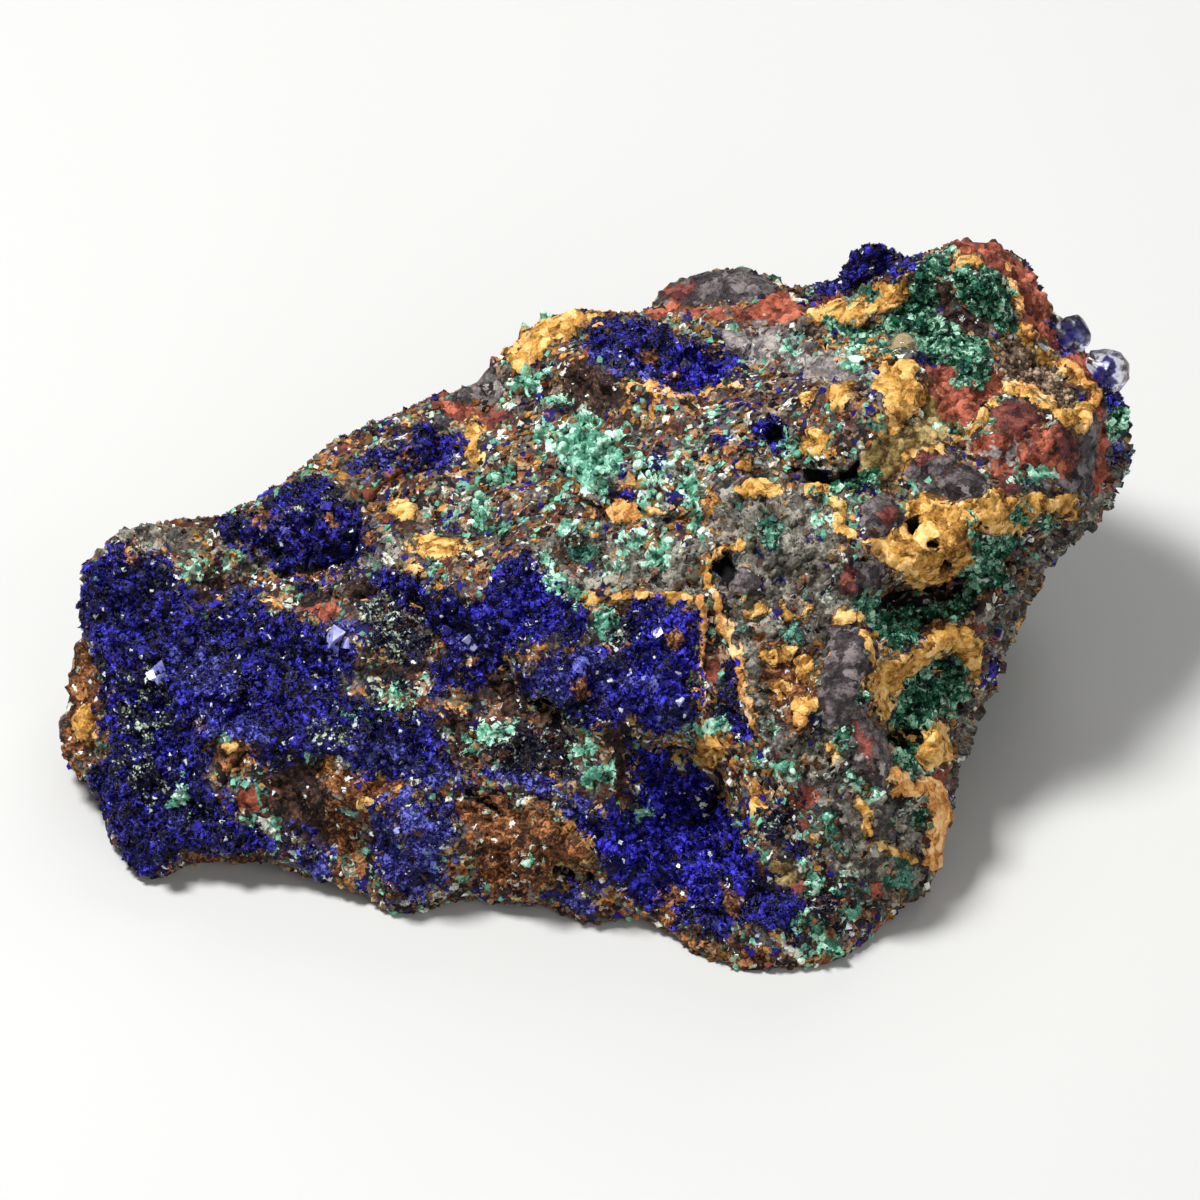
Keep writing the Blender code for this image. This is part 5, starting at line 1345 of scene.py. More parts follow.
@dataclass(frozen=True)
class Growth:
    """A sprinkling of small bodies over a skin.

    Attributes:
        body: The body that is repeated.
        minerals: The minerals it grows on.
        density: How many stand on a square millimetre.
        across: Least and greatest width, in millimetres.
        flatness: Depth of a body as a share of its width, least and greatest.
        height: Height as a share of its width, least and greatest.
        tilt: How far it leans from standing straight up, as a share.
        sunk: Share of its height that is below the skin.
        faceted: Whether its faces are flat.
        edge: Depth inside the minerals from which it grows, in millimetres.
        own_kind: Whether each body is of a kind of its own, whatever lies around it.
    """

    body: Seedling
    minerals: tuple[Mineral, ...]
    density: float
    across: Pair
    flatness: Pair
    height: Pair
    tilt: float
    sunk: float
    faceted: bool = True
    edge: float = -0.1
    own_kind: bool = False

    def grown(self, skin: Skin, seed: int) -> Skin:
        """Grows the bodies on a skin.

        Args:
            skin: The skin that carries them.
            seed: Fixes where they stand.

        Returns:
            The bodies as one skin, with the skin's values where they stand.
        """
        rng = np.random.default_rng(seed)
        chosen = self._places(skin, rng)
        corners = skin.triangles[chosen]
        shares = rng.dirichlet((1.0, 1.0, 1.0), len(chosen))
        feet = np.einsum("ij,ijk->ik", shares, skin.points[corners])
        slopes = skin.slopes()[chosen]
        upright = slopes / np.linalg.norm(slopes, axis=1, keepdims=True)
        turned = self._turned(upright, rng)
        across = rng.uniform(*self.across, len(chosen)) * MM
        sizes = np.column_stack([
            across,
            across * rng.uniform(*self.flatness, len(chosen)),
            across * rng.uniform(*self.height, len(chosen)),
        ])
        body = np.array(self.body.corners) - (0.0, 0.0, self.sunk)
        local = body[None, :, :] * sizes[:, None, :]
        points = feet[:, None, :] + np.einsum("nkj,nji->nki", local, turned)
        faces = np.array(self.body.faces)
        triangles = faces[None, :, :] + (np.arange(len(chosen)) * len(body))[:, None, None]
        values = {}
        for name, value in skin.values.items():
            carried = (value[corners] * shares).sum(axis=1)
            values[name] = np.repeat(np.full(len(carried), FAR_OFF) if self.own_kind else carried, len(body))
        values["grown"] = np.ones(len(chosen) * len(body))
        values["tone"] = np.repeat(rng.random(len(chosen)), len(body))
        triangles = triangles.reshape(-1, 3)
        points = points.reshape(-1, 3)
        points[:, 2] = np.maximum(points[:, 2], 0.0)
        return Skin(points, triangles, np.full(len(triangles), self.faceted), values)

    def _places(self, skin: Skin, rng: np.random.Generator) -> Rows:
        """Picks the triangles that the bodies stand on, by area and mineral.

        Args:
            skin: The skin that carries them.
            rng: The random draws.

        Returns:
            A triangle's number for each body.
        """
        depth = np.max([skin.values[mineral.value] for mineral in self.minerals], axis=0)
        if Mineral.MIXED in self.minerals:
            depth = np.ones(len(depth))
        covering = list(Mineral)[list(Mineral).index(self.minerals[-1]) + 1:]
        for mineral in covering:
            depth = np.minimum(depth, -skin.values[mineral.value])
        inside = depth[skin.triangles].mean(axis=1) > self.edge
        weight = np.linalg.norm(skin.slopes(), axis=1) * inside
        number = int(self.density * 0.5 * weight.sum() / MM ** 2)
        return rng.choice(len(weight), number, p=weight / max(weight.sum(), 1e-20))

    def _turned(self, upright: Rows, rng: np.random.Generator) -> Rows:
        """Leans and turns each body at random.

        Args:
            upright: Unit normals of the skin under the bodies.
            rng: The random draws.

        Returns:
            For each body, the three directions of its width, depth and height.
        """
        lean = upright + self.tilt * rng.normal(size=upright.shape)
        lean /= np.linalg.norm(lean, axis=1, keepdims=True)
        side = np.cross(lean, rng.normal(size=upright.shape))
        side /= np.linalg.norm(side, axis=1, keepdims=True)
        return np.stack([side, np.cross(lean, side), lean], axis=1)


# ---------------------------------------------------------------- materials


def linear(tone: Tone) -> tuple[float, float, float, float]:
    """A colour as the shader reads it.

    Args:
        tone: Red, green and blue as on a screen, up to 255.

    Returns:
        Linear red, green and blue up to 1, and a full alpha.
    """
    shares = [value / 255.0 for value in tone]
    red, green, blue = (s / 12.92 if s <= 0.04045 else ((s + 0.055) / 1.055) ** 2.4 for s in shares)
    return red, green, blue, 1.0


class Socket:
    """An output inside a material. Python's operators on it add Math nodes."""

    def __init__(self, graph: "Graph", link: bpy.types.NodeSocket) -> None:
        """Wraps an output.

        Args:
            graph: The material it is in.
            link: The output itself.
        """
        self.graph = graph
        self.link = link

    def _math(self, operation: str, first: "Socket | float", second: "Socket | float") -> "Socket":
        """Adds a Math node with one operation on two values."""
        return self.graph.node("ShaderNodeMath", {"operation": operation}, {0: first, 1: second})

    def __add__(self, other: "Socket | float") -> "Socket":
        """The sum with a value."""
        return self._math("ADD", self, other)

    def __radd__(self, other: float) -> "Socket":
        """The sum with a number on the left."""
        return self._math("ADD", other, self)

    def __sub__(self, other: "Socket | float") -> "Socket":
        """The difference from a value."""
        return self._math("SUBTRACT", self, other)

    def __rsub__(self, other: float) -> "Socket":
        """A number less this value."""
        return self._math("SUBTRACT", other, self)

    def __mul__(self, other: "Socket | float") -> "Socket":
        """The product with a value."""
        return self._math("MULTIPLY", self, other)

    def __rmul__(self, other: float) -> "Socket":
        """The product with a number on the left."""
        return self._math("MULTIPLY", other, self)

    def __gt__(self, other: "Socket | float") -> "Socket":
        """1 where this value is above the other, else 0."""
        return self._math("GREATER_THAN", self, other)

    def least(self, other: "Socket | float") -> "Socket":
        """The lesser of this value and another."""
        return self._math("MINIMUM", self, other)

    def over(self, low: float, high: float) -> "Socket":
        """A soft step from 0 at a low value to 1 at a high one.

        Args:
            low: The value at which it starts.
            high: The value at which it ends.

        Returns:
            The step.
        """
        inputs = {"Value": self, "From Min": low, "From Max": high}
        return self.graph.node("ShaderNodeMapRange", {"interpolation_type": "SMOOTHSTEP"}, inputs)

    def other(self, name: str) -> "Socket":
        """Another output of the same node."""
        return Socket(self.graph, self.link.node.outputs[name])

    def channel(self, name: str) -> "Socket":
        """The red, green or blue part of a colour."""
        return self.graph.node("ShaderNodeSeparateColor", {}, {0: self}).other(name)


class Graph:
    """A material's nodes, laid out by Python expressions."""

    def __init__(self, name: str) -> None:
        """Starts a material.

        Args:
            name: The material's name.
        """
        self.material = bpy.data.materials.new(name)
        self.material.use_nodes = True
        self.tree = self.material.node_tree
        self.tree.nodes.clear()

    def node(self, kind: str, settings: dict[str, object], inputs: dict[int | str, object],
             output: int | str = 0) -> Socket:
        """Adds a node.

        Args:
            kind: The node's type.
            settings: Its settings, which are set first. A ramp's are "stops" and "interpolation".
            inputs: The values or sockets of its inputs.
            output: Which of its outputs is wanted.

        Returns:
            That output.
        """
        made = self.tree.nodes.new(kind)
        for name, value in settings.items():
            if name == "stops":
                self._set_stops(made.color_ramp, value)
            elif name == "interpolation":
                made.color_ramp.interpolation = value
            else:
                setattr(made, name, value)
        for key, value in inputs.items():
            target = made.inputs[key] if isinstance(key, int) else self._input(made, key)
            if isinstance(value, Socket):
                self.tree.links.new(value.link, target)
            else:
                target.default_value = value
        found = made.outputs[output] if isinstance(output, int) else self._output(made, output)
        return Socket(self, found)

    @staticmethod
    def _input(made: bpy.types.Node, key: str) -> bpy.types.NodeSocket:
        """Finds an input by its identifier or its name."""
        return next(socket for socket in made.inputs if key in (socket.identifier, socket.name))

    @staticmethod
    def _output(made: bpy.types.Node, key: str) -> bpy.types.NodeSocket:
        """Finds an output by its identifier or its name."""
        return next(socket for socket in made.outputs if key in (socket.identifier, socket.name))

    @staticmethod
    def _set_stops(ramp: bpy.types.ColorRamp, stops: tuple[tuple[float, tuple[float, ...]], ...]) -> None:
        """Gives a colour ramp its stops.

        Args:
            ramp: The ramp.
            stops: Each stop's place and colour.
        """
        while len(ramp.elements) < len(stops):
            ramp.elements.new(1.0)
        for element, (position, colour) in zip(ramp.elements, stops):
            element.position = position
            element.color = colour

    def mix(self, share: Socket | float, first: object, second: object) -> Socket:
        """Mixes two colours.

        Args:
            share: How much of the second one shows.
            first: A colour or its socket.
            second: A colour or its socket.

        Returns:
            The mixed colour.
        """
        inputs = {"Factor_Float": share, "A_Color": first, "B_Color": second}
        return self.node("ShaderNodeMix", {"data_type": "RGBA"}, inputs, "Result_Color")

    def blend(self, share: Socket | float, first: Socket | float, second: Socket | float) -> Socket:
        """Mixes two numbers.

        Args:
            share: How much of the second one shows.
            first: A number or its socket.
            second: A number or its socket.

        Returns:
            The mixed number.
        """
        inputs = {"Factor_Float": share, "A_Float": first, "B_Float": second}
        return self.node("ShaderNodeMix", {"data_type": "FLOAT"}, inputs, "Result_Float")

    def vector(self, operation: str, first: object, second: object) -> Socket:
        """Adds a Vector Math node with one operation on two vectors."""
        return self.node("ShaderNodeVectorMath", {"operation": operation}, {0: first, 1: second})

    def place(self) -> Socket:
        """The place on the specimen, in millimetres."""
        return self.vector("MULTIPLY", self.node("ShaderNodeTexCoord", {}, {}, "Object"), (1.0 / MM,) * 3)

    def noise(self, place: Socket, scale: float, detail: float, roughness: float = 0.5) -> Socket:
        """Adds a cloudy field.

        Args:
            place: Where it is read, in millimetres.
            scale: Its swells to a millimetre.
            detail: How many times it is refined.
            roughness: How strong the finer swells are.

        Returns:
            The field, about 0.5 on the whole.
        """
        inputs = {"Vector": place, "Scale": scale, "Detail": detail, "Roughness": roughness}
        return self.node("ShaderNodeTexNoise", {}, inputs)

    def cells(self, place: Socket, size: float) -> Socket:
        """Adds a field of cells, each with a colour of its own.

        Args:
            place: Where it is read, in millimetres.
            size: Size of a cell, in millimetres.

        Returns:
            The colour of the cell.
        """
        return self.node("ShaderNodeTexVoronoi", {}, {"Vector": place, "Scale": 1.0 / size}, "Color")

    def bump(self, height: Socket, strength: float, distance: float, normal: Socket | None = None) -> Socket:
        """Adds a fine relief to the surface's normal.

        Args:
            height: The relief.
            strength: How much of it shows.
            distance: Its height, in metres.
            normal: The normal that it starts from, if not the surface's own.

        Returns:
            The new normal.
        """
        inputs = {"Strength": strength, "Distance": distance, "Height": height}
        return self.node("ShaderNodeBump", {}, inputs if normal is None else inputs | {"Normal": normal})

    def value_of(self, name: str) -> Socket:
        """A named value of the mesh's points."""
        return self.node("ShaderNodeAttribute", {"attribute_name": name}, {}, "Fac")

    def finished(self, inputs: dict[str, object], inside: Socket | None = None) -> bpy.types.Material:
        """Ends the material with its surface.

        Args:
            inputs: The surface's inputs.
            inside: What fills the body, where light passes into it.

        Returns:
            The finished material.
        """
        output = self.tree.nodes.new("ShaderNodeOutputMaterial")
        surface = self.node("ShaderNodeBsdfPrincipled", {}, inputs)
        self.tree.links.new(surface.link, output.inputs["Surface"])
        if inside is not None:
            self.tree.links.new(inside.link, output.inputs["Volume"])
        return self.material


@dataclass(frozen=True)
class Tones:
    """A mineral's dark, middle and light tones, and how its surface takes the light.

    Attributes:
        dark: Its darkest tone.
        middle: Its usual tone.
        light: Its lightest tone.
        roughness: How dull it is.
        grainy: Whether it is made of separate grains, rather than of one even body.
        ragged: How far its edge breaks up into blocks and grains, in millimetres.
        hold: How well it closes up away from its edge, up to 1 where nothing else shows through.
        edge_shadow: How dark the painted contact shadow is that is painted in the crease round its edge.
        usual: How much of it, as a share, is of its middle tone or darker.
    """

    dark: Tone
    middle: Tone
    light: Tone
    roughness: float
    grainy: bool
    ragged: float
    hold: float = 1.0
    edge_shadow: float = 0.0
    usual: float = 0.5

    def stops(self) -> tuple[tuple[float, tuple[float, ...]], ...]:
        """The tones as stops of a colour ramp."""
        return (0.1, linear(self.dark)), (self.usual, linear(self.middle)), (0.9, linear(self.light))


TONES: dict[Mineral, Tones] = {
    Mineral.GREY: Tones((26, 24, 24), (94, 90, 81), (164, 159, 146), 0.5, False, 2.2, 0.3, 0.6),
    Mineral.CHOCOLATE: Tones((14, 9, 10), (54, 35, 29), (100, 68, 50), 0.55, True, 1.2, 0.7),
    Mineral.KHAKI: Tones((66, 52, 30), (136, 114, 66), (184, 162, 112), 0.75, False, 0.6, 1.0, 0.4),
    Mineral.ORANGE: Tones((50, 27, 17), (122, 74, 40), (184, 124, 74), 0.7, True, 1.4, 0.6),
    Mineral.PURPLE: Tones((24, 20, 24), (64, 56, 58), (122, 112, 112), 0.35, False, 0.6, 1.0, 0.6),
    Mineral.RED: Tones((66, 28, 22), (138, 70, 52), (194, 112, 84), 0.65, False, 0.6, 0.9, 0.3),
    Mineral.MAROON: Tones((34, 14, 16), (88, 40, 36), (138, 76, 64), 0.4, False, 0.5, 1.0, 0.6),
    Mineral.GOETHITE: Tones((24, 18, 16), (104, 84, 66), (186, 164, 138), 0.45, False, 0.6),
    Mineral.OCHRE: Tones((96, 60, 26), (198, 146, 68), (240, 202, 134), 0.8, False, 0.4, 1.0, 0.6),
    Mineral.PEACH: Tones((146, 88, 38), (222, 160, 88), (246, 208, 152), 0.75, False, 0.4, 1.0, 0.6),
    Mineral.PALE: Tones((60, 54, 56), (112, 105, 103), (176, 168, 162), 0.5, False, 1.8, 0.5, 0.4),
    Mineral.AZURITE: Tones((0, 0, 3), (3, 1, 52), (62, 58, 196), 0.24, True, 1.1, 0.8, 0.3),
    Mineral.ROYAL: Tones((0, 0, 6), (8, 2, 100), (78, 74, 240), 0.24, True, 1.4, 0.5),
    Mineral.VIOLET: Tones((2, 1, 20), (26, 22, 108), (112, 116, 208), 0.24, True, 1.6, 0.45),
    Mineral.QUARTZ: Tones((1, 1, 8), (8, 6, 48), (190, 208, 182), 0.3, True, 1.9, 0.25, 0.0, 0.7),
    Mineral.GREEN: Tones((0, 14, 12), (34, 108, 78), (174, 218, 190), 0.4, True, 0.6, 1.0, 0.5),
    Mineral.TEAL: Tones((18, 56, 48), (54, 112, 94), (124, 178, 154), 0.5, True, 1.2, 0.7, 0.3),
    Mineral.MINT: Tones((14, 58, 44), (100, 172, 143), (208, 242, 222), 0.55, False, 1.4, 0.7, 0.5),
    Mineral.RUST: Tones((52, 28, 20), (134, 82, 50), (204, 148, 98), 0.65, True, 0.8, 0.8, 0.3),
    # Painted shade: the near-black tones of hollows and shadow lines.
    Mineral.DARK: Tones((2, 2, 4), (8, 6, 8), (22, 18, 20), 0.8, False, 0.4),
}

# What the single grains of the mixed rock are made of: where each starts on a scale to 1, and its tone.
# Painted shade: the near-black that is painted into the gaps between grains.
GAP_SHADE_TONE: Tone = (4, 3, 8)
# Painted shade: the dark brown that is painted into the creases between blocks.
CREASE_SHADE_TONE: Tone = (14, 9, 10)
# Painted shade: the dark tone of the contact shadow painted just outside the edges of raised crusts.
EDGE_SHADOW_TONE: Tone = (16, 10, 10)
# Painted highlight: the near-white that glinting grains are painted.
PAINTED_GLINT_TONE: Tone = (214, 220, 216)

GRAIN_KINDS: tuple[tuple[float, Tone], ...] = (
    (0.0, (204, 146, 72)), (0.11, (158, 98, 52)), (0.19, (84, 56, 44)), (0.30, (116, 106, 96)),
    (0.44, (128, 66, 48)), (0.50, (172, 142, 106)), (0.58, (86, 82, 86)), (0.67, (30, 22, 26)),
    (0.77, (34, 26, 118)), (0.84, (110, 176, 148)), (0.93, (206, 210, 196)),
)


@dataclass(frozen=True)
class MineralFinish:
    """The finish of every piece but the clear ones: the minerals laid over one another by the map.

    Attributes:
        name: The material's name.
        sparkle: How far the crystal faces turn the light.
        painted_glints: Share of the grains that are painted near-white as glints, a painted highlight.
        gloss: How strongly it mirrors, 0.5 being usual.
        block_size: Size of its blocks, in millimetres.
        grain_size: Size of its grains, in millimetres.
        drift: How far the blocks and grains are pushed out of shape, in millimetres.
    """

    name: str
    sparkle: float
    painted_glints: float = 0.013
    gloss: float = 0.17
    block_size: float = 1.25
    grain_size: float = 1.0 / 2.3
    drift: float = 1.6

    @cache
    def made(self) -> bpy.types.Material:
        """Builds the material, once.

        Returns:
            The material.
        """
        graph = Graph(self.name)
        place = graph.place()
        broad = graph.noise(place, 0.3, 3.0)
        middle = graph.noise(place, 1.0, 3.0)
        fine = graph.noise(place, 3.4, 3.0, 0.6)
        drift = graph.vector("MULTIPLY", middle.other("Color"), (self.drift,) * 3)
        warped = graph.vector("ADD", place, drift)
        block = graph.cells(warped, self.block_size)
        grain = graph.cells(warped, self.grain_size)
        grown = graph.value_of("grown")
        own = graph.value_of("tone")
        picked = graph.blend(grain.channel("Blue") > 0.7, block.channel("Red"), grain.channel("Red"))
        picked = graph.blend(grown, picked, own)
        swing = broad * 0.7 + middle * 1.1 + fine * 0.9
        even = swing + graph.blend(grown, block.channel("Green"), own) * 0.6 - 1.15
        single = graph.blend(grown, grain.channel("Red"), own)
        sorted_tone = block.channel("Green") * 0.35 + single * 0.7 + swing * 0.8 - 1.15
        stray = (grain.channel("Green") - 0.5) * 0.4 + (middle - 0.5) * 1.6
        stray = stray + (block.channel("Blue") - 0.5) * 1.1
        colour, rough, grainy = self._layered(graph, picked, even, sorted_tone, stray)
        # Painted shade: the gaps between the grains are darkened towards near-black, as shadow between
        # crystals.
        gaps = grain.other("Distance").over(0.45, 0.75) * grainy * (1.0 - grown)
        colour = graph.mix(gaps * 0.75, colour, linear(GAP_SHADE_TONE))
        # Painted shade: the creases between the blocks are darkened as shadow in them, less on grown bodies.
        painted_crease_shade = block.other("Distance").over(0.62, 0.95)
        colour = graph.mix(painted_crease_shade * (0.75 - 0.5 * grown), colour, linear(CREASE_SHADE_TONE))
        # Painted highlight: a few single grains are painted near-white as glints.
        painted_glint = (grain.channel("Red") > 1.0 - self.painted_glints) * grainy * (1.0 - grown)
        colour = graph.mix(painted_glint, colour, linear(PAINTED_GLINT_TONE))
        turned = graph.vector("SUBTRACT", graph.mix(0.55, grain, block), (0.5, 0.5, 0.5))
        lean = (grainy * 0.65 + 0.35) * self.sparkle
        turned = graph.node("ShaderNodeVectorMath", {"operation": "SCALE"}, {0: turned, "Scale": lean})
        normal = graph.node("ShaderNodeNewGeometry", {}, {}, "Normal")
        normal = graph.vector("ADD", normal, turned)
        normal = graph.node("ShaderNodeVectorMath", {"operation": "NORMALIZE"}, {0: normal})
        normal = graph.bump(fine, 0.7, 0.3 * MM, normal)
        rough = rough + (grain.channel("Blue") - 0.5) * 0.3
        return graph.finished({
            "Base Color": colour, "Roughness": rough, "Normal": normal,
            "IOR": 1.5, "Specular IOR Level": self.gloss,
        })

    @staticmethod
    def _layered(graph: Graph, picked: Socket, even: Socket, grains: Socket,
                 stray: Socket) -> tuple[Socket, Socket, Socket]:
        """Lays the minerals over one another.

        Args:
            graph: The material.
            picked: Which kind each single grain of the mixed rock is.
            even: Which of a mineral's tones shows where it is one even body.
            grains: Which of its tones shows where it is made of grains.
            stray: How far single grains stray over the edges.

        Returns:
            The colour, the roughness and how grainy it is.
        """
        kinds = tuple((start, linear(tone)) for start, tone in GRAIN_KINDS)
        colour = graph.node("ShaderNodeValToRGB", {"stops": kinds, "interpolation": "CONSTANT"}, {0: picked})
        shades = ((0.1, (0.25, 0.25, 0.25, 1.0)), (0.9, (1.3, 1.3, 1.3, 1.0)))
        shade = graph.node("ShaderNodeValToRGB", {"stops": shades}, {0: even})
        colour = graph.vector("MULTIPLY", colour, shade)
        rough: Socket | float = 0.6
        grainy: Socket | float = 0.8
        for mineral, tones in TONES.items():
            depth = graph.value_of(mineral.value)
            if tones.hold < 1.0:
                depth = depth.least(depth * tones.hold)
            depth = depth + stray * tones.ragged
            mask = depth.over(-0.05, 0.05)
            # Painted shade: a contact shadow is painted just outside the mineral's edge.
            if tones.edge_shadow > 0.0:
                colour = graph.mix(depth.over(-0.3, -0.03) * tones.edge_shadow, colour, linear(EDGE_SHADOW_TONE))
            tone = grains if tones.grainy else even
            own = graph.node("ShaderNodeValToRGB", {"stops": tones.stops()}, {0: tone})
            colour = graph.mix(mask, colour, own)
            rough = graph.blend(mask, rough, tones.roughness)
            grainy = graph.blend(mask, grainy, 1.0 if tones.grainy else 0.0)
        return colour, rough, grainy


@dataclass(frozen=True)
class CrystalFinish:
    """A single pale crystal face: one even tone with a glassy shine.

    Attributes:
        name: The material's name.
        dark: Its darker tone.
        light: Its lighter tone.
        roughness: How dull it is.
    """

    name: str
    dark: Tone
    light: Tone
    roughness: float

    @cache
    def made(self) -> bpy.types.Material:
        """Builds the material, once.

        Returns:
            The material.
        """
        graph = Graph(self.name)
        place = graph.place()
        fine = graph.noise(place, 2.6, 2.0)
        share = (fine * 1.4 + graph.value_of("tone") * 0.6 - 0.6).over(0.0, 1.0)
        colour = graph.mix(share, linear(self.dark), linear(self.light))
        normal = graph.bump(fine, 0.3, 0.2 * MM)
        inputs = {"Base Color": colour, "Roughness": self.roughness, "Normal": normal, "IOR": 1.55}
        return graph.finished(inputs)


@dataclass(frozen=True)
class ClearFinish:
    """A clear crystal: light passes through it and is tinted on the way.

    Attributes:
        name: The material's name.
        tint: The colour that it lets through.
        roughness: How frosted its faces are.
        ior: How strongly it bends light.
        depth: How strongly it tints light, for each metre of its way.
    """

    name: str
    tint: Tone
    roughness: float
    ior: float = 1.54
    depth: float = 120.0

    @cache
    def made(self) -> bpy.types.Material:
        """Builds the material, once.

        Returns:
            The material.
        """
        graph = Graph(self.name)
        place = graph.place()
        fine = graph.noise(place, 1.4, 3.0)
        cloud = fine.over(0.42, 0.72)
        normal = graph.bump(fine, 0.35, 0.3 * MM)
        colour = graph.mix(cloud, linear((250, 250, 255)), linear(self.tint))
        tint = {"Color": linear(self.tint), "Density": self.depth}
        inside = graph.node("ShaderNodeVolumeAbsorption", {}, tint)
        return graph.finished({
            "Base Color": colour, "Roughness": self.roughness, "IOR": self.ior,
            "Transmission Weight": 1.0, "Normal": normal,
        }, inside)


Finish = MineralFinish | CrystalFinish | ClearFinish


# ---------------------------------------------------------------- the pieces


def valued(skin: Skin, minerals: MineralMap) -> dict[Mineral, Rows]:
    """Gives a skin the values that its finish reads.

    Args:
        skin: The skin.
        minerals: The mineral map.

    Returns:
        The depths of the minerals at its points.
    """
    depths = minerals.depths(skin.points, skin.normals())
    skin.values = {mineral.value: depth for mineral, depth in depths.items()}
    skin.values["grown"] = np.zeros(len(skin.points))
    skin.values["tone"] = np.zeros(len(skin.points))
    return depths


@dataclass(frozen=True)
class HostRock:
    """The lump of iron-stained rock that carries everything else.

    Attributes:
        face: The show face.
        minerals: The mineral map.
        relief: The small forms of its surface.
        grain: Spacing of its points, in millimetres.
        rounding: Rounds of smoothing.
        buried: Distance to a crust within which the rock is hidden, in millimetres.
        grain_buried: Spacing of its points where it is hidden.
        grain_behind: Spacing of its points where it faces away.
    """

    face: ShowFace
    minerals: MineralMap
    relief: Relief
    grain: float = 0.345
    rounding: int = 8
    buried: float = 0.75
    grain_buried: float = 1.2
    grain_behind: float = 0.8

    def made(self) -> Skin:
        """Builds the rock.

        Returns:
            Its skin.
        """
        skin = refined("host_rock", self.grain, self.rounding)
        skin = skin.gathered(skin.normals() @ self.face.outward() < 0.0, self.grain_behind)
        away, _ = distances(skin.points, *(crust.node for crust in CRUSTS))
        skin = skin.gathered(away < self.buried, self.grain_buried)
        depths = valued(skin, self.minerals)
        heights = self.relief.heights(skin.points, depths)
        resting = smooth(skin.points[:, 2] / MM / 1.5)
        skin.points += skin.normals() * (heights * MM * resting)[:, None]
        skin.points[:, 2] = np.maximum(skin.points[:, 2], 0.0)
        return skin

    def dressed(self, skin: Skin) -> bpy.types.Object:
        """Makes the rock's object and finishes it.

        Args:
            skin: The rock's skin.

        Returns:
            The object.
        """
        rock = skin.made("rock_body", Slot.ROCK, MineralFinish("stained_rock", sparkle=0.55))
        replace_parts(rock, "host_rock")
        return rock


@dataclass(frozen=True)
class Crust:
    """A crust of grown-together crystals.

    Attributes:
        name: The piece's name.
        node: The solid that it stands for.
        slot: The record's slot that it takes its finish from.
        growths: The crystals that stand on it.
        grain: Spacing of its points, in millimetres.
        grain_behind: Spacing of its points where it faces away.
        rounding: Rounds of smoothing.
        seat: Height above the rock below which a point belongs to the crust's underside, in millimetres.
        sunk: How far the underside is let into the rock.
    """

    name: str
    node: str
    slot: Slot
    growths: tuple[Growth, ...]
    grain: float = 0.34
    grain_behind: float = 0.8
    rounding: int = 4
    seat: float = 0.8
    sunk: float = 1.0

    def made(self, face: ShowFace, minerals: MineralMap, relief: Relief, seed: int) -> Skin:
        """Builds the crust.

        Args:
            face: The show face.
            minerals: The mineral map.
            relief: The small forms of its surface.
            seed: Fixes where its crystals stand.

        Returns:
            The crust's skin.
        """
        skin = refined(self.node, self.grain, self.rounding)
        skin = skin.gathered(skin.normals() @ face.outward() < -0.1, self.grain_behind)
        depths = valued(skin, minerals)
        heights = relief.heights(skin.points, depths)
        away, upright = distances(skin.points, "host_rock")
        seated = smooth((self.seat - away) / self.seat * 1.6)[:, None]
        skin.points += (1.0 - seated) * skin.normals() * (heights * MM)[:, None]
        skin.points -= seated * upright * self.sunk * MM
        skin.points[:, 2] = np.maximum(skin.points[:, 2], 0.0)
        for number, growth in enumerate(self.growths):
            skin = skin.joined(growth.grown(skin, seed + number))
        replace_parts(skin.made(self.name, self.slot, FINISHES[self.slot]), self.node)
        return skin


AZURITES = (Mineral.AZURITE, Mineral.ROYAL, Mineral.VIOLET, Mineral.QUARTZ)
STAINED = (Mineral.MIXED, Mineral.GREY, Mineral.CHOCOLATE, Mineral.KHAKI, Mineral.ORANGE)
AZURITE_BLADES = Growth(
    BLADE, AZURITES, density=0.45, across=(0.45, 0.85), flatness=(0.3, 0.7), height=(0.5, 1.0),
    tilt=0.7, sunk=0.4,
)
AZURITE_SHARDS = Growth(
    SHARD, AZURITES, density=5.5, across=(0.22, 0.5), flatness=(0.5, 1.0), height=(0.6, 1.3),
    tilt=0.8, sunk=0.3,
)
MINT_BEADS = Growth(
    bead(), (Mineral.MINT,), density=0.35, across=(0.5, 1.1), flatness=(0.8, 1.0), height=(0.6, 0.9),
    tilt=0.3, sunk=0.45, faceted=False,
)
MINT_FLAKES = Growth(
    CRUMB, (Mineral.MINT, Mineral.TEAL), density=1.6, across=(0.3, 0.8), flatness=(0.4, 1.0),
    height=(0.3, 0.7), tilt=0.5, sunk=0.35,
)
GOETHITE_BEADS = Growth(
    bead(3, 6), (Mineral.GOETHITE,), density=2.2, across=(0.4, 0.8), flatness=(0.8, 1.0), height=(0.7, 1.0),
    tilt=0.2, sunk=0.4, faceted=False,
)
GREEN_NEEDLES = Growth(
    NEEDLE, (Mineral.GREEN, Mineral.TEAL), density=2.5, across=(0.15, 0.3), flatness=(0.8, 1.0),
    height=(1.0, 1.8), tilt=0.6, sunk=0.2,
)
GREEN_LUMPS = Growth(
    CRUMB, (Mineral.GREEN, Mineral.TEAL), density=0.9, across=(0.5, 1.3), flatness=(0.7, 1.0),
    height=(0.6, 1.0), tilt=0.5, sunk=0.35,
)
ROCK_CRUMBS = Growth(
    CRUMB, STAINED, density=0.25, across=(0.2, 0.6), flatness=(0.6, 1.0), height=(0.4, 0.8),
    tilt=0.5, sunk=0.45,
)
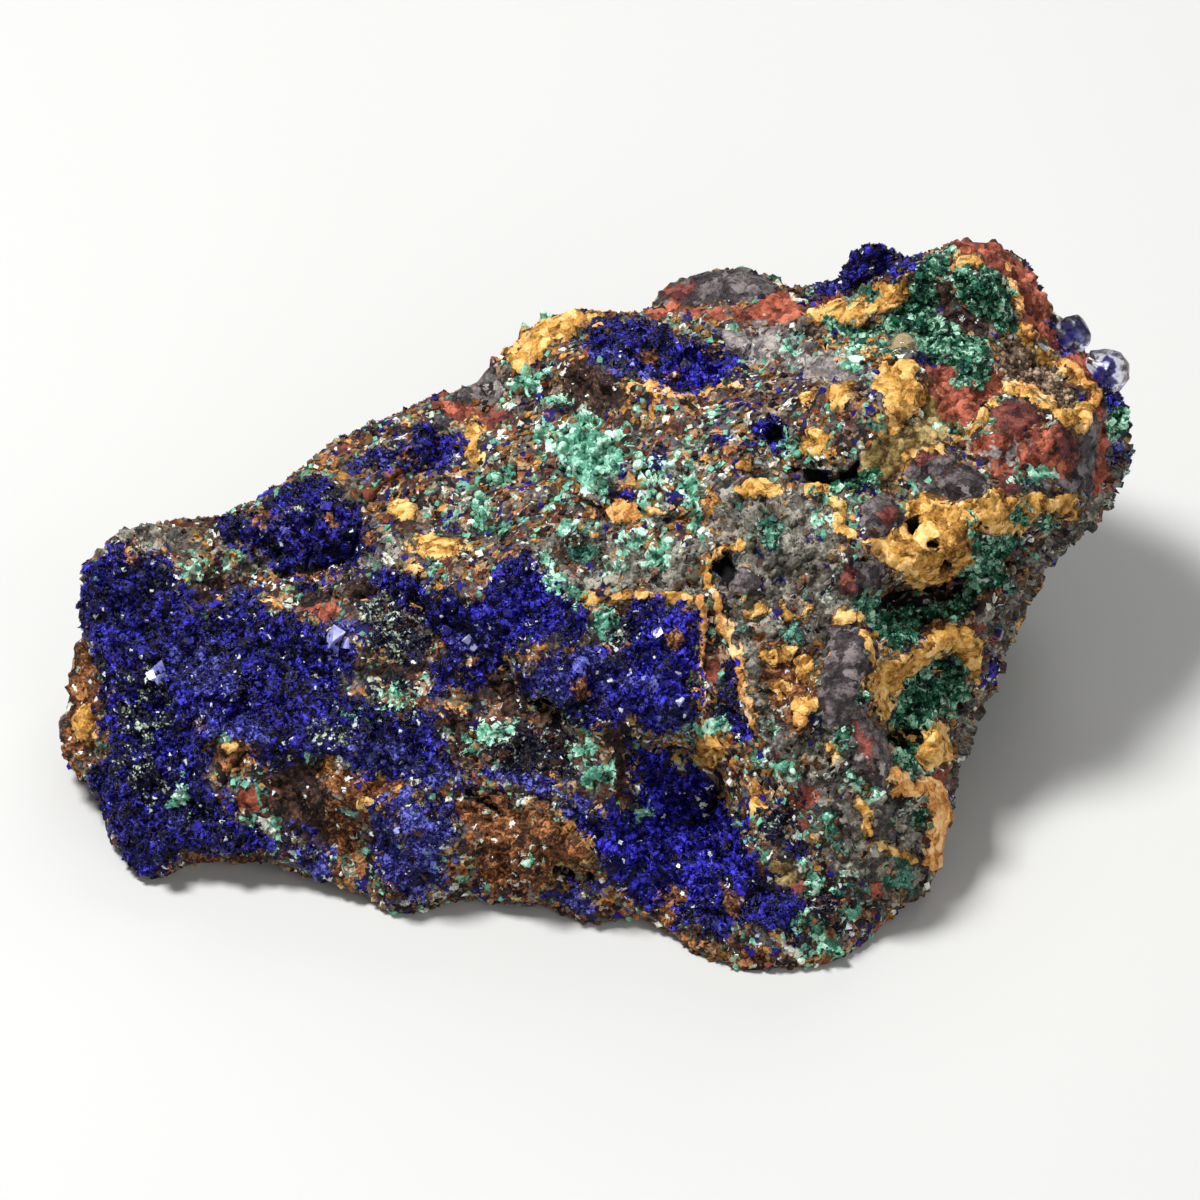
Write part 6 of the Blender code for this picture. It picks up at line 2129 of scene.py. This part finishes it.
MIXED_CHUNKS = Growth(
    CRUMB, (Mineral.MIXED,), density=1.3, across=(0.4, 1.2), flatness=(0.5, 1.0), height=(0.5, 0.9),
    tilt=0.5, sunk=0.4, edge=0.1, own_kind=True,
)

FINISHES: dict[Slot, MineralFinish] = {
    Slot.ROCK: MineralFinish("rock_crumb", sparkle=0.4),
    Slot.AZURITE: MineralFinish("azurite_crystal", sparkle=1.1),
    Slot.MINT: MineralFinish("malachite_crust", sparkle=0.6),
    Slot.GREEN: MineralFinish("malachite_crust", sparkle=0.6),
}

# Painted highlight: a near-white finish that makes small crystals stand in for glints.
WHITE_GLINT = CrystalFinish("white_glint", (196, 204, 214), (244, 246, 250), 0.25)
LAVENDER = CrystalFinish("lavender_crystal", (112, 116, 208), (202, 204, 242), 0.3)
AZURITE_FACET = CrystalFinish("azurite_facet", (8, 2, 70), (58, 50, 176), 0.22)

AZURITE_DRUSE = (AZURITE_BLADES, AZURITE_SHARDS)
GREEN_LINING = (GREEN_LUMPS, GREEN_NEEDLES)
CRUSTS = (
    Crust("azurite_face_crust", "azurite_druse", Slot.AZURITE, AZURITE_DRUSE),
    Crust("azurite_slope_crust", "azurite_slope_druse", Slot.AZURITE, AZURITE_DRUSE),
    Crust("azurite_pocket_lining", "azurite_pocket_druse", Slot.AZURITE, AZURITE_DRUSE),
    Crust("azurite_top_knob", "azurite_knob", Slot.AZURITE, AZURITE_DRUSE, rounding=45),
    Crust("mint_patch", "malachite_patch", Slot.MINT, (MINT_BEADS, MINT_FLAKES)),
    Crust("green_head_lining", "malachite_head_crust", Slot.GREEN, GREEN_LINING),
    Crust("green_cave_lining", "malachite_cave_crust", Slot.GREEN, GREEN_LINING),
    Crust("green_pocket_lining", "malachite_pocket_crust", Slot.GREEN, GREEN_LINING),
)


@dataclass(frozen=True)
class Scatter:
    """Small bodies that stand straight on the rock.

    Attributes:
        name: The piece's name.
        slot: The record's slot that it takes its finish from.
        growth: The bodies.
    """

    name: str
    slot: Slot
    growth: Growth

    def made(self, rock: Skin) -> None:
        """Builds them on the rock's skin."""
        self.growth.grown(rock, 7).made(self.name, self.slot, FINISHES[self.slot])


SCATTERS = (
    Scatter("azurite_blades", Slot.AZURITE, AZURITE_BLADES),
    Scatter("azurite_sprinkling", Slot.AZURITE, AZURITE_SHARDS),
    Scatter("mint_beads", Slot.MINT, MINT_BEADS),
    Scatter("mint_flakes", Slot.MINT, MINT_FLAKES),
    Scatter("goethite_grapes", Slot.ROCK, GOETHITE_BEADS),
    Scatter("green_velvet", Slot.GREEN, GREEN_NEEDLES),
    Scatter("green_lumps", Slot.GREEN, GREEN_LUMPS),
    Scatter("rock_crumbs", Slot.ROCK, ROCK_CRUMBS),
    Scatter("mixed_chunks", Slot.ROCK, MIXED_CHUNKS),
)


@dataclass(frozen=True)
class PlacedCrystals:
    """Single larger crystals that stand at their own places on the show face.

    Attributes:
        name: The piece's name.
        slot: The record's slot, which is handed on when their object is made.
        body: The form of each.
        finish: Their finish.
        places: Each one's across and up, and its width, all in millimetres.
        height: Height as a share of the width.
        lean: How far they lean off the surface, as a share.
        sunk: Share of the height that is below the surface.
        faceted: Whether their faces are flat.
    """

    name: str
    slot: Slot
    body: Seedling
    finish: "Finish"
    places: tuple[tuple[float, float, float], ...]
    height: float = 0.8
    lean: float = 0.5
    sunk: float = 0.35
    faceted: bool = True

    def made(self, face: ShowFace, ground: BVHTree, minerals: MineralMap, seed: int) -> None:
        """Builds the crystals.

        Args:
            face: The show face.
            ground: The surface that carries them.
            minerals: The mineral map.
            seed: Fixes how they are turned.
        """
        rng = np.random.default_rng(seed)
        skin = None
        for across, up, width in self.places:
            foot, normal, _, _ = ground.ray_cast(face.point(across, up, 60.0), -Vector(face.outward()))
            if foot is None:
                continue
            turn = self._turned(Vector(normal), rng)
            size = np.array([width, width * rng.uniform(0.6, 1.0), width * self.height]) * MM
            corners = (np.array(self.body.corners) - (0.0, 0.0, self.sunk)) * size
            one = Skin(corners @ turn + np.array(foot), np.array(self.body.faces),
                       np.full(len(self.body.faces), self.faceted), {})
            one.values = {"grown": np.ones(len(corners)), "tone": np.full(len(corners), rng.random())}
            skin = one if skin is None else skin.joined(one)
        facing = np.tile(face.outward(), (len(skin.points), 1))
        for mineral, depth in minerals.depths(skin.points, facing).items():
            skin.values[mineral.value] = depth
        skin.made(self.name, self.slot, self.finish)

    def _turned(self, normal: Vector, rng: np.random.Generator) -> Rows:
        """Leans and turns a crystal at random.

        Args:
            normal: The normal of what carries it.
            rng: The random draws.

        Returns:
            The directions of its width, depth and height.
        """
        up = (normal + self.lean * Vector(rng.normal(size=3))).normalized()
        side = up.cross(Vector(rng.normal(size=3))).normalized()
        return np.array([side, up.cross(side), up])


@dataclass(frozen=True)
class ClearCrystal:
    """A clear crystal or glassy bead.

    Attributes:
        name: The piece's name.
        node: The solid that it stands for.
        finish: Its finish.
        rounding: Rounds of smoothing.
        inclusions: How many azurite grains are grown into its foot.
        grain: Spacing of its points, in millimetres.
        foot: Middle of the grains, as shares of the solid's box.
        gathered: How far they lie from it at most, as a share of the box.
    """

    name: str
    node: str
    finish: ClearFinish
    rounding: int
    inclusions: int = 0
    grain: float = 0.12
    foot: tuple[float, float, float] = (0.45, 0.55, 0.36)
    gathered: float = 0.22

    def filled(self, seed: int) -> None:
        """Grows azurite grains inside the crystal's foot.

        Args:
            seed: Fixes where they lie.
        """
        rng = np.random.default_rng(seed)
        low, high = (np.array(corner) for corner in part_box(self.node))
        middle = low + (high - low) * self.foot
        skin = None
        for _ in range(self.inclusions):
            away = rng.normal(size=3)
            foot = middle + away / np.linalg.norm(away) * rng.uniform(0.0, self.gathered) * (high - low)
            side, other, up = np.linalg.qr(rng.normal(size=(3, 3)))[0]
            turn = np.array([side, np.cross(up, side), up])
            corners = np.array(BLADE.corners) * rng.uniform(0.5, 0.9, 3) * MM @ turn + foot
            values = {mineral.value: np.full(len(corners), FAR_OFF) for mineral in Mineral}
            values |= {"azurite": np.full(len(corners), -FAR_OFF), "grown": np.ones(len(corners)),
                       "tone": np.full(len(corners), rng.random())}
            one = Skin(corners, np.array(BLADE.faces), np.full(len(BLADE.faces), True), values)
            skin = one if skin is None else skin.joined(one)
        skin.made(self.name + "_inclusions", Slot.AZURITE, AZURITE_FACET)

    def made(self) -> None:
        """Builds the crystal."""
        skin = refined(self.node, self.grain, self.rounding)
        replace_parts(skin.made(self.name, Slot.CLEAR, self.finish), self.node)


SINGLE_CRYSTALS = (
    # Small real crystal bodies, whose near-white colour is a painted highlight standing in for glints.
    PlacedCrystals("white_glints", Slot.CLEAR, BLADE, WHITE_GLINT, (
        (-50.6, -1.6, 0.7), (-47.9, -1.7, 0.45), (-48.7, 2.8, 0.45), (-46.0, -5.7, 0.45),
        (-49.6, -7.4, 0.45), (-37.3, -1.6, 0.45), (-45.0, 1.0, 0.45), (-28.0, -6.0, 0.45),
        (-38.8, -10.5, 0.45), (-36.8, -9.9, 0.45), (-41.3, -16.2, 0.7), (-42.9, -15.4, 0.45),
        (-32.5, -19.2, 0.45), (-22.6, -23.2, 0.45), (-47.3, -11.7, 0.45), (-18.5, -17.0, 0.45),
        (-19.6, -17.3, 0.45), (0.0, -5.0, 0.45), (2.8, -12.3, 0.45), (2.0, -24.0, 0.45),
        (5.5, -3.2, 0.45), (24.6, -32.2, 0.8), (-32.2, 5.6, 0.45), (-25.0, 6.9, 0.45),
        (1.6, -4.9, 0.45), (-4.2, -8.8, 0.45), (-19.9, -13.1, 0.45), (-44.4, -19.8, 0.45),
        (13.4, -20.6, 0.45), (7.8, -26.4, 0.45),
    )),
    PlacedCrystals("lavender_crystals", Slot.AZURITE, BLADE, LAVENDER, (
        (-44.4, -6.9, 1.6), (-43.9, -7.8, 1.2), (-44.9, -7.6, 1.0), (-26.6, -3.8, 2.2), (-25.4, -4.4, 1.4),
        (-26.4, -5.0, 1.2), (-13.2, -3.9, 0.9), (-12.6, -4.7, 0.7), (4.4, -7.8, 0.8), (8.0, -10.0, 0.8),
        (-20.0, -22.8, 0.8), (-17.4, -24.6, 0.8), (-14.0, -17.4, 0.8), (3.4, 23.5, 0.8),
    )),
    PlacedCrystals("large_mint_beads", Slot.MINT, bead(6, 10), FINISHES[Slot.MINT], (
        (-8.1, 21.2, 1.3), (-7.0, 21.9, 1.0), (-6.1, 20.4, 0.9), (-10.4, 12.2, 1.6), (-9.0, 13.5, 1.1),
        (-8.8, 12.4, 1.0), (3.8, 13.6, 1.3), (4.2, 11.3, 1.6), (-6.2, 17.3, 1.0), (5.0, 12.5, 1.0),
        (2.4, 12.6, 1.0), (5.9, 10.2, 1.1), (-9.7, 20.0, 0.9),
    ), height=0.85, lean=0.1, sunk=0.3, faceted=False),
    PlacedCrystals("large_azurite_crystals", Slot.AZURITE, BLADE, AZURITE_FACET, (
        (-50.0, 3.4, 1.1), (-38.4, -0.4, 1.0), (-30.0, -3.0, 1.1), (-34.4, 0.8, 1.2), (-41.0, -4.2, 1.0),
        (-6.8, 3.6, 1.2), (-15.2, -3.0, 1.0), (-9.0, -1.2, 1.1), (5.8, -3.4, 1.1), (8.2, -6.6, 1.3),
        (6.4, -8.4, 1.1), (3.0, -9.6, 1.0), (10.0, -24.6, 1.2), (7.0, -21.6, 1.1), (14.0, -29.0, 1.0),
        (-27.6, 9.4, 1.2), (-33.0, 7.4, 1.0), (-18.4, 15.4, 1.0), (0.0, 26.2, 1.0), (8.6, 23.8, 1.1),
        (-24.0, -18.4, 1.0), (-40.0, -22.6, 1.1), (-48.6, -19.4, 1.0),
    )),
)

CLEAR_QUARTZ = ClearFinish("clear_quartz", (190, 190, 214), 0.18, 1.45)
BLUISH_QUARTZ = ClearFinish("bluish_quartz", (128, 128, 178), 0.25, 1.45)
GLASSY_CHALCEDONY = ClearFinish("glassy_chalcedony", (176, 210, 196), 0.04, 1.25)
CLEAR_CRYSTALS = (
    ClearCrystal("clear_edge_crystal", "quartz_bead", CLEAR_QUARTZ, rounding=4, inclusions=12),
    ClearCrystal("blue_edge_crystal", "quartz_side_crystal", BLUISH_QUARTZ, rounding=4, inclusions=9),
    ClearCrystal("glassy_bead", "chalcedony_bead", GLASSY_CHALCEDONY, rounding=12),
)


# ---------------------------------------------------------------- studio


@dataclass(frozen=True)
class Studio:
    """The pale floor, the soft lights and the camera.

    Attributes:
        face: The show face that the camera looks at.
        distance: From the camera to the face's middle, in metres.
        picture: Width of what the camera takes in at the face, in metres.
        sensor: Width of the camera's sensor, in millimetres.
    """

    face: ShowFace
    distance: float = 1.2
    picture: float = 0.12
    sensor: float = 36.0

    def made(self) -> None:
        """Builds the floor, the lights and the camera."""
        self._floor()
        self._lamp("key", (-0.32, 0.02, 0.78), 0.2, 10.5)
        self._lamp("fill", (0.5, -0.85, 0.5), 0.8, 4.0)
        self._lamp("back", (0.3, 0.7, 0.6), 0.5, 2.5)
        self._surroundings()
        self._camera()

    def _floor(self) -> None:
        """A plain pale floor."""
        bpy.ops.mesh.primitive_plane_add(size=4.0)
        floor = bpy.context.object
        floor.name = "floor"
        graph = Graph("pale_floor")
        floor.data.materials.append(graph.finished({"Base Color": (0.5, 0.5, 0.49, 1.0), "Roughness": 0.7}))

    def _lamp(self, name: str, place: tuple[float, float, float], size: float, power: float) -> None:
        """Places a soft lamp that points at the specimen.

        Args:
            name: The lamp's name.
            place: Where it stands, in metres.
            size: Width of its square face, in metres.
            power: Its power, in watts.
        """
        data = bpy.data.lights.new(name, "AREA")
        data.size = size
        data.energy = power
        lamp = bpy.data.objects.new(name, data)
        lamp.location = place
        lamp.rotation_euler = (self.face.centre() - Vector(place)).to_track_quat("-Z", "Y").to_euler()
        bpy.context.scene.collection.objects.link(lamp)

    @staticmethod
    def _surroundings() -> None:
        """An even pale light from all around."""
        world = bpy.data.worlds.new("studio")
        world.use_nodes = True
        world.node_tree.nodes["Background"].inputs["Color"].default_value = (1.0, 1.0, 1.0, 1.0)
        world.node_tree.nodes["Background"].inputs["Strength"].default_value = 0.26
        bpy.context.scene.world = world

    def _camera(self) -> None:
        """The camera, square on to the show face."""
        data = bpy.data.cameras.new("camera")
        data.sensor_width = self.sensor
        data.lens = self.sensor * self.distance / self.picture
        data.clip_end = 10.0
        camera = bpy.data.objects.new("camera", data)
        outward = Vector(self.face.outward())
        camera.location = self.face.centre() + outward * self.distance
        camera.rotation_euler = (-outward).to_track_quat("-Z", "Y").to_euler()
        bpy.context.scene.collection.objects.link(camera)
        bpy.context.scene.camera = camera


def clear_table() -> None:
    """Takes away whatever lies in the scene besides the specimen's solids."""
    wanted = set(frame["nodes"].values()) | set(frame["bodies"].values())
    for leftover in [thing for thing in bpy.data.objects if thing not in wanted]:
        bpy.data.objects.remove(leftover)


def main() -> None:
    """Builds the specimen and the studio around it."""
    logging.basicConfig(level=logging.INFO, format="%(message)s")
    clear_table()
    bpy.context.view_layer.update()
    face = ShowFace()
    minerals = MineralMap(face)
    relief = Relief()
    rock = HostRock(face, minerals, relief)
    rock_skin = rock.made()
    rock.dressed(rock_skin)
    skins = [rock_skin]
    for number, crust in enumerate(CRUSTS):
        skins.append(crust.made(face, minerals, relief, 100 * number))
    ground = tree_of(skins)
    for number, crystals in enumerate(SINGLE_CRYSTALS):
        crystals.made(face, ground, minerals, number)
    for scatter in SCATTERS:
        scatter.made(rock_skin)
    for number, crystal in enumerate(CLEAR_CRYSTALS):
        crystal.made()
        if crystal.inclusions:
            crystal.filled(number)
    Studio(face).made()
    bpy.context.scene.view_settings.view_transform = "Standard"


if __name__ == "__main__":
    main()
